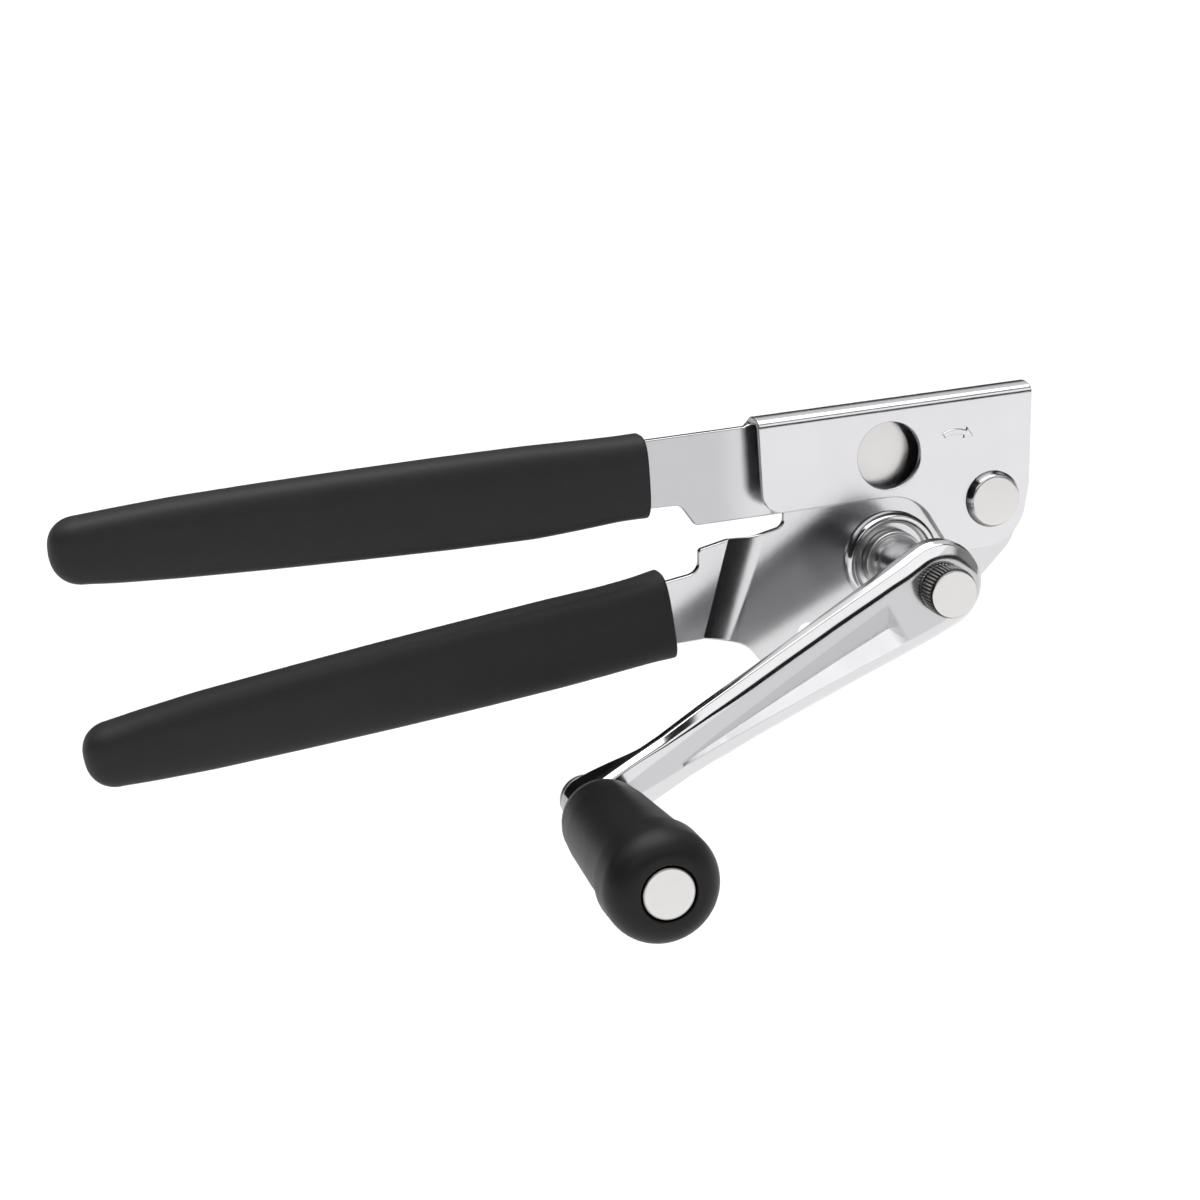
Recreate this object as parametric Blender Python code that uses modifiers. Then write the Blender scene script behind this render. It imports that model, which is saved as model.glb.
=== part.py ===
"""Hand-crank can opener: two stamped steel handles on one pivot, a toothed feed wheel turned by a long
crank, and a cutter wheel that its gear drives. Sizes are in millimetres and become metres in the mesh.
+X runs from the grips to the head, +Y goes away from the crank side, +Z is up. The crank shaft's axis is
X = Z = 0 and the head's front face is Y = 0."""

import math

import bmesh
import bpy
from mathutils import Matrix, Vector

MM = 0.001
SHEET = 1.5  # steel gauge of both handles
ROUND = 40  # segments of a turned piece

FRONT_Y = 0.0  # front faces of the three layers of sheet in the head
LOWER_Y = 1.8
BACK_Y = 5.55
TOP_Z = 33.0  # top of the folded head
BEND_R = 1.7  # bend radius at mid sheet
HEAD_X = (-27.5, 32.2)

SHAFT = (0.0, 0.0)  # X and Z of each axis, all parallel to Y
CUTTER = (0.0, 21.3)
HOLE = (0.1, 22.0)
PIVOT = (22.5, 9.85)
ARM_LENGTH = 80.5
ARM_ANGLE = math.radians(206.6)  # crank arm's direction from the shaft, turned from +X towards +Z
KNOB = (ARM_LENGTH * math.cos(ARM_ANGLE), ARM_LENGTH * math.sin(ARM_ANGLE))

PIVOT_R = 4.0
STUD_R = 3.5
SHAFT_R = 3.0
PIN_R = 2.6
RUN = 0.06  # radial clearance where one piece turns on another
SNUG = 0.03  # radial gap kept between fixed pieces

FEED_TEETH = 18
CUTTER_TEETH = 14
MODULE = 2 * (CUTTER[1] - SHAFT[1]) / (FEED_TEETH + CUTTER_TEETH)
GEAR_Y = (7.5, 9.5)
FEED_Y = (9.7, 12.1)
FEED_R = 12.0
BLADE_R = 9.8

ARM_BOSS_R = 9.0
ARM_END_R = 5.2
# (distance from the shaft, Y) along the arm's front and back faces
ARM_FRONT = ((-10.0, -24.2), (6.0, -24.2), (14.0, -23.2), (24.0, -21.8), (36.0, -20.5), (53.0, -18.9))
ARM_FRONT += ((70.0, -18.3), (90.0, -18.3))
ARM_BACK = ((-10.0, -18.7), (10.0, -18.7), (24.0, -17.9), (40.0, -17.1), (58.0, -16.1), (67.0, -15.3))
ARM_BACK += ((75.0, -11.4), (79.0, -10.0), (90.0, -10.0))

KNOB_BASE_Y = -19.4
KNOB_FRONT_Y = -62.9

# moves the whole object so that the middle of its box is the world's origin
CENTRING = (67.5, 23.25, 7.17)


def clear_scene():
    for obj in list(bpy.data.objects):
        bpy.data.objects.remove(obj, do_unlink=True)


def collection(name):
    made = bpy.data.collections.new(name)
    bpy.context.scene.collection.children.link(made)
    return made


def material(name, color, roughness, metallic):
    mat = bpy.data.materials.new(name)
    mat.use_nodes = True
    shader = mat.node_tree.nodes["Principled BSDF"]
    shader.inputs["Base Color"].default_value = (*color, 1.0)
    shader.inputs["Roughness"].default_value = roughness
    shader.inputs["Metallic"].default_value = metallic
    mat.diffuse_color = (*color, 1.0)
    return mat


def pivot_empty(name, xz, parent=None):
    """An empty on a joint's axis. Its pieces' meshes are placed from it."""
    empty = bpy.data.objects.new(name, None)
    if parent:
        empty.location = ((xz[0] - parent["at"][0]) * MM, 0, (xz[1] - parent["at"][1]) * MM)
    else:
        empty.location = [part * MM for part in CENTRING]
    empty.parent = parent
    empty["at"] = xz
    opener.objects.link(empty)
    return empty


def place(name, bm, body, mat, where=None):
    """Makes the object of a mesh that was built in world millimetres."""
    bm.normal_update()
    at = body["at"]
    bm.transform(Matrix.Translation((-at[0], 0, -at[1])))
    bm.transform(Matrix.Scale(MM, 4))
    mesh = bpy.data.meshes.new(name)
    bm.to_mesh(mesh)
    bm.free()
    mesh.materials.append(mat)
    obj = bpy.data.objects.new(name, mesh)
    (where or opener).objects.link(obj)
    obj.parent = body
    return obj


def turned(name, profile, body, mat, centre, ring=False, segments=ROUND, where=None):
    """A piece turned about a line along Y: profile is (y, r) pairs, a closed loop for a ring."""
    bm = bmesh.new()
    verts = [bm.verts.new((centre[0] + r, y, centre[1])) for y, r in profile]
    pairs = list(zip(verts, verts[1:])) + ([(verts[-1], verts[0])] if ring else [])
    for pair in pairs:
        bm.edges.new(pair)
    obj = place(name, bm, body, mat, where)
    # the screw turns about the object's own Y axis, so the axis is the object's origin
    shift = Vector(((centre[0] - body["at"][0]) * MM, 0, (centre[1] - body["at"][1]) * MM))
    obj.data.transform(Matrix.Translation(-shift))
    obj.location = shift
    screw = obj.modifiers.new("turn", "SCREW")
    screw.axis = "Y"
    screw.steps = screw.render_steps = segments
    screw.use_merge_vertices = True
    screw.merge_threshold = 0.00001
    screw.use_smooth_shade = False
    screw.use_normal_calculate = False
    # the profile runs towards +Y on the outside, and the screw then faces it inwards
    screw.use_normal_flip = True
    return obj


def ring(y0, y1, r0, r1, chamfer=0.0):
    """Closed profile of a washer or a sleeve, running towards +Y on the outside."""
    c = chamfer
    outer = [(y0, r1)] if not c else [(y0, r1 - c), (y0 + c, r1)]
    outer += [(y1, r1)] if not c else [(y1 - c, r1), (y1, r1 - c)]
    return [(y0, r0)] + outer + [(y1, r0)]


def arc(cx, cz, r, a0, a1, steps):
    """Points on a circle from angle a0 to a1, in degrees."""
    angles = [math.radians(a0 + (a1 - a0) * i / steps) for i in range(steps + 1)]
    return [(cx + r * math.cos(a), cz + r * math.sin(a)) for a in angles]


def rounded(corners, per_turn=28):
    """An outline from (x, z, radius) corners, each rounded by an arc that touches both sides."""
    points = []
    count = len(corners)
    for i, (x, z, r) in enumerate(corners):
        here = Vector((x, z))
        into = (here - Vector(corners[i - 1][:2])).normalized()
        out = (Vector(corners[(i + 1) % count][:2]) - here).normalized()
        turn = into.angle_signed(out) if r else 0.0  # positive is clockwise
        if abs(turn) < 0.02 or not r:
            points.append((x, z))
            continue
        reach = r * math.tan(abs(turn) / 2)
        start = here - into * reach
        side = Vector((-into.y, into.x)) * (-1 if turn > 0 else 1)
        centre = start + side * r
        steps = max(2, round(per_turn * abs(turn) / math.tau))
        for k in range(steps + 1):
            spoke = (start - centre).copy()
            spoke.rotate(Matrix.Rotation(-turn * k / steps, 2))
            points.append(tuple(centre + spoke))
    return points


def sheet(name, outline, cuts, bend, body, mat):
    """A stamped sheet: a flat outline in (x, s), cut along its bend lines, bent and then thickened.

    cuts are lines (x, s, normal x, normal s), and bend turns a flat point into a point at mid sheet."""
    bm = bmesh.new()
    bm.faces.new([bm.verts.new((x, 0, s)) for x, s in outline])
    for x, s, nx, ns in cuts:
        everything = bm.verts[:] + bm.edges[:] + bm.faces[:]
        bmesh.ops.bisect_plane(bm, geom=everything, plane_co=(x, 0, s), plane_no=(nx, 0, ns), dist=1e-5)
    for vert in bm.verts:
        vert.co = Vector(bend(vert.co.x, vert.co.z))
    bmesh.ops.recalc_face_normals(bm, faces=bm.faces[:])
    obj = place(name, bm, body, mat)
    thick = obj.modifiers.new("gauge", "SOLIDIFY")
    thick.thickness = SHEET * MM
    thick.offset = 0.0
    thick.use_even_offset = True
    return obj


def prism(name, outline, y0, y1, body, mat, where=None):
    """A flat outline in (x, z) given its thickness between y0 and y1."""
    bm = bmesh.new()
    face = bm.faces.new([bm.verts.new((x, y0, z)) for x, z in outline])
    made = bmesh.ops.extrude_face_region(bm, geom=[face])
    for item in made["geom"]:
        if isinstance(item, bmesh.types.BMVert):
            item.co.y = y1
    bmesh.ops.recalc_face_normals(bm, faces=bm.faces[:])
    return place(name, bm, body, mat, where)


def skin(rings):
    """A closed skin over a row of rings with the same number of points, its two ends filled."""
    bm = bmesh.new()
    rows = [[bm.verts.new(p) for p in points] for points in rings]
    count = len(rows[0])
    for low, high in zip(rows, rows[1:]):
        for i in range(count):
            j = (i + 1) % count
            bm.faces.new((low[i], low[j], high[j], high[i]))
    bm.faces.new(rows[0][::-1])
    bm.faces.new(rows[-1])
    bmesh.ops.recalc_face_normals(bm, faces=bm.faces[:])
    return bm


def cut(target, cutter):
    boolean = target.modifiers.new("cut_" + cutter.name, "BOOLEAN")
    boolean.operation = "DIFFERENCE"
    boolean.solver = "EXACT"
    boolean.object = cutter


def drill(target, centre, radius, y0, y1, body, segments=ROUND):
    """Cuts a round hole along Y through a piece."""
    name = "drill_%s_%d" % (target.name, len(target.modifiers))
    outline = arc(centre[0], centre[1], radius, 0, 360, segments)[:-1]
    cut(target, prism(name, outline, y0, y1, body, steel, cutters))


def along(points, at):
    """Value at a place on a line through (place, value) points."""
    for (s0, v0), (s1, v1) in zip(points, points[1:]):
        if at <= s1:
            return v0 + (v1 - v0) * max(at - s0, 0.0) / (s1 - s0)
    return points[-1][1]


clear_scene()
opener = collection("can_opener")
cutters = collection("cutters")
cutters.hide_render = True

nickel = material("plated_sheet", (0.79, 0.79, 0.80), 0.24, 1.0)
chrome = material("chrome_crank", (0.83, 0.83, 0.84), 0.08, 1.0)
steel = material("turned_steel", (0.68, 0.67, 0.66), 0.22, 1.0)
hard = material("tool_steel", (0.60, 0.60, 0.61), 0.3, 1.0)
grip = material("grip_vinyl", (0.022, 0.022, 0.025), 0.6, 0.0)
rubber = material("knob_rubber", (0.016, 0.016, 0.018), 0.5, 0.0)

frame = pivot_empty("frame_axis", (0.0, 0.0))
lower = pivot_empty("handle_pivot_axis", PIVOT, frame)
crank = pivot_empty("crank_axis", SHAFT, lower)
knob = pivot_empty("knob_axis", KNOB, crank)
cutter = pivot_empty("cutter_axis", CUTTER, frame)


# --- upper handle: back plate and handle, folded over the top into the front plate -------------------
back_mid = BACK_Y + SHEET / 2
front_mid = FRONT_Y + SHEET / 2
bend_z = TOP_Z - SHEET / 2 - BEND_R
top_flat = back_mid - front_mid - 2 * BEND_R
quarter = BEND_R * math.pi / 2
s_top = bend_z + quarter
s_front = s_top + top_flat + quarter


def fold(x, s):
    """Flat sheet to folded channel: up the back plate, round two bends and down the front."""
    if s <= bend_z:
        return x, back_mid, s
    if s <= s_top:
        a = (s - bend_z) / BEND_R
        return x, back_mid - BEND_R + BEND_R * math.cos(a), bend_z + BEND_R * math.sin(a)
    if s <= s_top + top_flat:
        return x, back_mid - BEND_R - (s - s_top), bend_z + BEND_R
    if s < s_front:
        a = (s - s_top - top_flat) / BEND_R
        return x, front_mid + BEND_R - BEND_R * math.sin(a), bend_z + BEND_R * math.cos(a)
    return x, front_mid, bend_z - (s - s_front)


def front(x, z, r=0.0):
    return x, s_front + bend_z - z, r


left, right = HEAD_X
upper_outline = rounded(
    [
        (-156.0, 20.0, 3.0),
        (-52.0, 16.9, 0.0),
        (-43.2, 16.6, 2.2),
        (-40.3, 12.0, 1.2),
        (2.0, 11.6, 5.0),
        (11.0, 1.0, 6.0),
        (30.0, 1.0, 8.0),
        (right - 0.8, 16.0, 0.0),
        (right - 0.8, bend_z - 1.0, 0.0),
        (right, bend_z + 0.2, 0.0),
        front(right, bend_z - 0.2),
        front(31.0, 12.0, 8.0),
        front(28.2, -0.3, 9.5),
        front(13.4, -0.3, 6.0),
        front(5.4, 13.25, 10.0),
        front(left, 13.3, 4.3),
        front(left, bend_z - 0.2),
        (left, bend_z + 0.6, 0.0),
        (-28.6, 30.8, 0.0),
        (-52.0, 30.8, 0.0),
        (-156.0, 29.0, 3.0),
    ]
)
bend_lines = [bend_z + quarter * i / 3 for i in range(4)]
bend_lines += [s_top + top_flat + quarter * i / 3 for i in range(4)]
upper_frame = sheet(
    "upper_frame", upper_outline, [(0, s, 0, 1) for s in bend_lines], fold, frame, nickel
)
drill(upper_frame, HOLE, 6.9, -2.0, 3.0, frame)
drill(upper_frame, CUTTER, STUD_R + SNUG, 4.0, 9.0, frame)
drill(upper_frame, PIVOT, PIVOT_R + SNUG, -2.0, 9.0, frame)

# --- lower handle: head plate behind the front plate, stepping back to its own handle ----------------
STEP_NORMAL = (0.9468, -0.3218)
STEP = (-34.2, -29.2)  # distances along the normal where the step starts and ends
lower_mid = LOWER_Y + SHEET / 2
step_lines = [STEP[0] + (STEP[1] - STEP[0]) * i / 6 for i in range(7)]


def joggle(x, z):
    """Flat sheet to stepped sheet: the step follows a smooth S across its slanted band."""
    d = x * STEP_NORMAL[0] + z * STEP_NORMAL[1]
    u = min(max((d - STEP[0]) / (STEP[1] - STEP[0]), 0.0), 1.0)
    return x, back_mid + (lower_mid - back_mid) * u * u * (3 - 2 * u), z


lower_outline = rounded(
    [
        (-154.0, -20.2, 3.0),
        (-46.0, -12.1, 0.0),
        (-33.0, -12.0, 9.5),
        (-25.0, -24.0, 4.0),
        (3.0, -19.5, 14.0),
        (15.5, -11.0, 8.0),
        (28.2, 0.5, 9.0),
        (30.2, 19.5, 7.0),
        (13.0, 19.5, 4.5),
        (11.2, 14.2, 3.5),
        (-22.5, 14.2, 1.5),
        (-22.9, 10.1, 1.9),
        (-39.9, 6.9, 0.9),
        (-40.3, 2.2, 2.6),
        (-46.4, 1.4, 0.0),
        (-154.0, -11.4, 3.0),
    ]
)
lower_handle = sheet(
    "lower_handle",
    lower_outline,
    [(d * STEP_NORMAL[0], d * STEP_NORMAL[1], *STEP_NORMAL) for d in step_lines],
    joggle,
    lower,
    nickel,
)
drill(lower_handle, PIVOT, PIVOT_R + RUN, 0.0, 5.0, lower)
drill(lower_handle, SHAFT, 5.4 + SNUG, 0.0, 5.0, lower)
drill(lower_handle, (-19.0, -12.8), 2.0, 0.0, 5.0, lower, 24)


# --- grips: soft sleeves, closed at the far end, with a slot for the handle ---------------------------
def sleeve(name, mouth, tip, rims, half_thick, core, body):
    """rims are (share of the length, half height above, half height below); core is the slot's (half height
    at the mouth, half height at its end, half thickness, share of the length)."""
    start, end = Vector((mouth[0], 0, mouth[1])), Vector((tip[0], 0, tip[1]))
    axis = (end - start).normalized()
    up = Vector((-axis.z, 0, axis.x)) * (-1 if axis.x < 0 else 1)
    length = (end - start).length
    mid_y = back_mid

    def section(share, above, below, thick, power):
        centre = start + axis * (length * share)
        points = []
        for i in range(28):
            a = math.tau * (i + 0.5) / 28
            c, s = math.cos(a), math.sin(a)
            high = math.copysign(abs(s) ** power, s) * (above if s > 0 else below)
            deep = math.copysign(abs(c) ** power, c) * thick
            points.append(centre + up * high + Vector((0, mid_y + deep, 0)))
        return points

    rings = []
    for share, above, below in rims:
        swell = min(1.0, 0.62 + 0.38 * math.sqrt(max(1 - share, 0) / 0.05)) if share > 0.95 else 1.0
        rings.append(section(share, above, below, half_thick * swell, 0.62))
    high0, high1, deep, reach = core
    inner = [section(0.0, high0, high0, deep, 0.12), section(reach, high1, high1, deep, 0.12)]
    return place(name, skin(rings[::-1] + inner), body, grip)


upper_rims = [
    (0.0, 8.2, 8.0), (0.012, 8.5, 8.3), (0.05, 8.4, 8.3), (0.11, 8.5, 8.9), (0.2, 8.7, 9.6), (0.35, 8.6, 9.5),
    (0.5, 8.3, 9.1), (0.65, 7.9, 8.6), (0.8, 7.3, 7.9), (0.9, 6.5, 7.2), (0.95, 6.0, 6.6), (0.975, 5.4, 5.9),
    (0.99, 4.2, 4.6), (1.0, 2.2, 2.4),
]
upper_grip = sleeve(
    "upper_grip", (-50.4, 23.6), (-167.2, 25.2), upper_rims, 5.4, (7.55, 5.2, SHEET / 2 + 0.3, 0.925), frame
)
lower_rims = [
    (0.0, 8.9, 8.7), (0.012, 9.2, 8.9), (0.05, 8.7, 8.8), (0.11, 8.5, 9.0), (0.2, 8.6, 9.2), (0.35, 8.5, 9.1),
    (0.5, 8.3, 8.8), (0.65, 7.9, 8.3), (0.8, 7.4, 7.7), (0.9, 6.6, 6.9), (0.95, 6.0, 6.3), (0.975, 5.3, 5.5),
    (0.99, 4.1, 4.3), (1.0, 2.2, 2.3),
]
lower_grip = sleeve(
    "lower_grip", (-47.6, -5.57), (-166.0, -16.2), lower_rims, 5.4, (7.35, 5.2, SHEET / 2 + 0.3, 0.925), lower
)

# --- pivot: one shouldered rivet through the three layers, with a washer that keeps them apart --------
turned(
    "pivot_rivet",
    [(-1.7, 0.0), (-1.7, 4.7), (-1.45, 4.95), (-0.15, 5.9), (-0.1, PIVOT_R)]
    + [(7.15, PIVOT_R), (7.2, 5.6), (8.0, 5.2), (8.4, 3.6), (8.4, 0.0)],
    frame, steel, PIVOT,
)
turned("pivot_washer", ring(3.5, 5.35, PIVOT_R + SNUG, 8.2), frame, steel, PIVOT, ring=True)

# --- cutter: a stud riveted to the back plate carries the gear, a spacer and the blade ----------------
turned(
    "cutter_stud",
    [(4.95, 0.0), (4.95, 7.15), (5.1, 7.3), (5.4, 7.3), (5.45, STUD_R)]
    + [(15.2, STUD_R), (15.25, 5.0), (15.9, 4.9), (16.4, 4.0), (16.4, 0.0)],
    frame, steel, CUTTER,
)
turned(
    "cutter_wheel",
    [(12.35, STUD_R + RUN), (12.35, BLADE_R - 0.15), (12.45, BLADE_R), (14.15, 7.4), (14.15, STUD_R + RUN)],
    cutter, hard, CUTTER, ring=True, segments=72,
)
turned("cutter_spacer", ring(9.65, 12.2, STUD_R + RUN, 5.6), cutter, steel, CUTTER, ring=True)
turned("cutter_washer", ring(14.35, 15.0, STUD_R + SNUG, 5.6), frame, steel, CUTTER, ring=True)


def involute_outline(centre, teeth, first_tooth):
    """A spur gear's outline: involute flanks between the root and the tip, thinned for play."""
    pitch_r = teeth * MODULE / 2
    base_r = pitch_r * math.cos(math.radians(20))
    tip_r, root_r = pitch_r + 0.85 * MODULE, pitch_r - 1.15 * MODULE
    play = 0.16 / pitch_r  # half angle taken off each flank

    def flank(r):
        roll = math.sqrt(max((r / base_r) ** 2 - 1, 0.0))
        return roll - math.atan(roll)

    half = math.pi / (2 * teeth) + flank(pitch_r) - play
    radii = [max(root_r, base_r) + (tip_r - max(root_r, base_r)) * k / 3 for k in range(4)]
    points = []
    for tooth in range(teeth):
        mid = first_tooth + math.tau * tooth / teeth
        points.append((root_r, mid - half * 1.02))
        points += [(r, mid - half + flank(r)) for r in radii]
        points += [(r, mid + half - flank(r)) for r in reversed(radii)]
        points.append((root_r, mid + half * 1.02))
    return [(centre[0] + r * math.cos(a), centre[1] + r * math.sin(a)) for r, a in points]


# a tooth of the feed gear points at the cutter's axis, and a gap of the cutter's gear points back
gap_angle = -math.pi / 2 + math.pi / CUTTER_TEETH
cutter_outline = involute_outline(CUTTER, CUTTER_TEETH, gap_angle)
cutter_gear = prism("cutter_gear", cutter_outline, *GEAR_Y, cutter, hard)
drill(cutter_gear, CUTTER, STUD_R + RUN, 6.0, 11.0, cutter)
feed_gear = prism("feed_gear", involute_outline(SHAFT, FEED_TEETH, math.pi / 2), *GEAR_Y, crank, hard)
drill(feed_gear, SHAFT, SHAFT_R + SNUG, 6.0, 11.0, crank)

# --- feed wheel: pointed teeth that grip under the can's rim ------------------------------------------
POINTS = 28
feed_outline = []
for i in range(POINTS):
    a = math.tau * i / POINTS
    feed_outline.append((FEED_R * math.cos(a), FEED_R * math.sin(a)))
    b = a + math.pi / POINTS
    feed_outline.append(((FEED_R - 1.1) * math.cos(b), (FEED_R - 1.1) * math.sin(b)))
feed_wheel = prism("feed_wheel", feed_outline, *FEED_Y, crank, hard)
drill(feed_wheel, SHAFT, SHAFT_R + SNUG, 9.0, 13.0, crank)

# --- drive shaft, its bearing in the lower handle, and the sleeve in front of it ----------------------
turned(
    "drive_shaft",
    [(-24.6, 0.0), (-24.6, SHAFT_R), (12.25, SHAFT_R), (12.3, 4.7), (13.2, 4.5), (13.7, 3.4), (13.7, 0.0)],
    crank, steel, SHAFT,
)
turned(
    "shaft_collar",
    [(1.6, 7.8), (0.5, 7.95), (-0.1, 8.5), (-0.1, 9.2), (0.5, 9.75), (1.6, 9.95)],
    lower, nickel, SHAFT, ring=True, segments=48,
)
turned(
    "shaft_bushing",
    [(-1.0, SHAFT_R + RUN), (-1.0, 5.9), (-0.7, 6.25), (1.5, 6.3), (1.6, 5.4), (7.2, 5.4), (7.2, SHAFT_R + RUN)],
    lower, steel, SHAFT, ring=True,
)
turned(
    "shaft_spacer",
    [(-18.4, SHAFT_R + SNUG), (-18.4, 4.7), (-8.0, 4.8), (-3.4, 5.2), (-1.6, 5.6), (-1.2, 5.3), (-1.2, SHAFT_R + SNUG)],
    crank, steel, SHAFT, ring=True,
)

# --- crank arm: a tapered casting, thin in the middle, with a long V-shaped hollow in its face --------
arm_dir = Vector((math.cos(ARM_ANGLE), 0, math.sin(ARM_ANGLE)))
arm_side = Vector((-arm_dir.z, 0, arm_dir.x)) * -1.0


def on_arm(s, t, y):
    return arm_dir * s + arm_side * t + Vector((0, y, 0))


taper = math.asin((ARM_BOSS_R - ARM_END_R) / 62.0)
arm_outline = arc(0, 0, ARM_BOSS_R, 90 - math.degrees(taper), 270 + math.degrees(taper), 22)
arm_outline += [(62.0, -ARM_END_R - 0.1)]
arm_outline += arc(ARM_LENGTH, 0, ARM_END_R, -90, 90, 14)
arm_outline += [(62.0, ARM_END_R + 0.1)]
bm = bmesh.new()
face = bm.faces.new([bm.verts.new((s, 0, t)) for s, t in arm_outline])
for s in sorted({s for s, _ in ARM_FRONT + ARM_BACK if 0 < s < 85}):
    everything = bm.verts[:] + bm.edges[:] + bm.faces[:]
    bmesh.ops.bisect_plane(bm, geom=everything, plane_co=(s, 0, 0), plane_no=(1, 0, 0), dist=1e-4)
rear = bmesh.ops.extrude_face_region(bm, geom=bm.faces[:])
rear = {item for item in rear["geom"] if isinstance(item, bmesh.types.BMVert)}
for vert in bm.verts:
    s, t = vert.co.x, vert.co.z
    vert.co = on_arm(s, t, along(ARM_BACK if vert in rear else ARM_FRONT, s))
bmesh.ops.recalc_face_normals(bm, faces=bm.faces[:])
crank_arm = place("crank_arm", bm, crank, chrome)
soften = crank_arm.modifiers.new("soften", "BEVEL")
soften.width = 1.3 * MM
soften.segments = 2
soften.angle_limit = math.radians(50)

# across the arm the hollow's edges and valley, and its depth, from its slanted end wall to its point
HOLLOW = ((13.0, 3.45, -5.35, -1.7, 2.0), (61.5, -1.15, -2.05, -1.6, 0.15))
END_WALL = 11.0
hollow_rings = []
for s in (7.0, 13.0, 14.0, 24.0, 36.0, 53.0, 61.5):
    share = (s - HOLLOW[0][0]) / (HOLLOW[1][0] - HOLLOW[0][0])
    high, low, mid, deep = (a + (b - a) * share for a, b in zip(HOLLOW[0][1:], HOLLOW[1][1:]))
    face_y = along(ARM_FRONT, s)
    hollow_rings.append(
        [
            on_arm(s, mid, face_y + deep),
            on_arm(s, high + 0.05, face_y - 0.03),
            on_arm(s, high + 0.05, face_y - 3.0),
            on_arm(s, low - 0.05, face_y - 3.0),
            on_arm(s, low - 0.05, face_y - 0.03),
        ]
    )
bm = skin(hollow_rings)
top = on_arm(END_WALL, 0.0, along(ARM_FRONT, END_WALL))
foot = on_arm(HOLLOW[0][0], 0.0, along(ARM_FRONT, HOLLOW[0][0]) + HOLLOW[0][4])
across = (foot - top).cross(arm_side)
if across.dot(arm_dir) < 0:
    across.negate()
everything = bm.verts[:] + bm.edges[:] + bm.faces[:]
ended = bmesh.ops.bisect_plane(bm, geom=everything, plane_co=top, plane_no=across, clear_inner=True)
edges = [item for item in ended["geom_cut"] if isinstance(item, bmesh.types.BMEdge)]
bmesh.ops.edgeloop_fill(bm, edges=edges)
bmesh.ops.recalc_face_normals(bm, faces=bm.faces[:])
cut(crank_arm, place("hollow", bm, crank, chrome, cutters))
drill(crank_arm, SHAFT, SHAFT_R + SNUG, -30.0, -10.0, crank)
drill(crank_arm, KNOB, PIN_R + SNUG, -30.0, 0.0, crank)

# --- knurled cap on the shaft's front end --------------------------------------------------------------
KNURLS = 40
cap_outline = []
for i in range(KNURLS):
    for k, r in ((0.0, 5.1), (0.5, 4.8)):
        a = math.tau * (i + k) / KNURLS
        cap_outline.append((r * math.cos(a), r * math.sin(a)))
rows = []
for y, grow in ((-24.75, 0.0), (-29.1, 0.0), (-29.55, -0.4)):
    rows.append(
        [Vector((x * (1 + grow / 5), y, z * (1 + grow / 5))) for x, z in cap_outline]
    )
place("shaft_cap", skin(rows), crank, steel)

# --- knob: a soft handle on a fixed pin whose flat head shows in the end of it ------------------------
turned(
    "knob_pin",
    [(-62.7, 0.0), (-62.7, 4.8), (-62.4, 5.02), (-61.2, 5.02), (-61.1, PIN_R), (-9.5, PIN_R)]
    + [(-9.45, 4.9), (-8.3, 4.9), (-7.9, 4.3), (-7.9, 0.0)],
    crank, steel, KNOB,
)
turned("knob_washer", ring(-19.15, -18.5, PIN_R + SNUG, 6.6), crank, steel, KNOB, ring=True)
turned(
    "knob_sleeve",
    ring(-60.7, -19.55, PIN_R + RUN, 4.1),
    knob, hard, KNOB, ring=True,
)
turned(
    "crank_knob",
    [
        (-60.8, 4.15), (-60.8, 5.7), (-62.5, 6.0), (KNOB_FRONT_Y, 6.5), (-62.8, 7.6), (-61.9, 9.3), (-60.3, 10.6),
        (-58.3, 11.1), (-53.0, 11.0), (-51.9, 10.75), (-50.6, 10.35), (-43.0, 9.85), (-28.0, 9.05), (-24.0, 8.55),
        (-21.6, 8.0), (-20.2, 7.0), (KNOB_BASE_Y - 0.15, 5.8), (KNOB_BASE_Y - 0.15, 4.15),
    ],
    knob, rubber, KNOB, ring=True, segments=48,
)

for helper in cutters.objects:
    helper.hide_render = True
    helper.display_type = "WIRE"
bpy.context.view_layer.update()
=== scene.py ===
import math

import bmesh
import bpy
import numpy as np
from mathutils import Matrix, Vector
from mathutils.geometry import delaunay_2d_cdt


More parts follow.
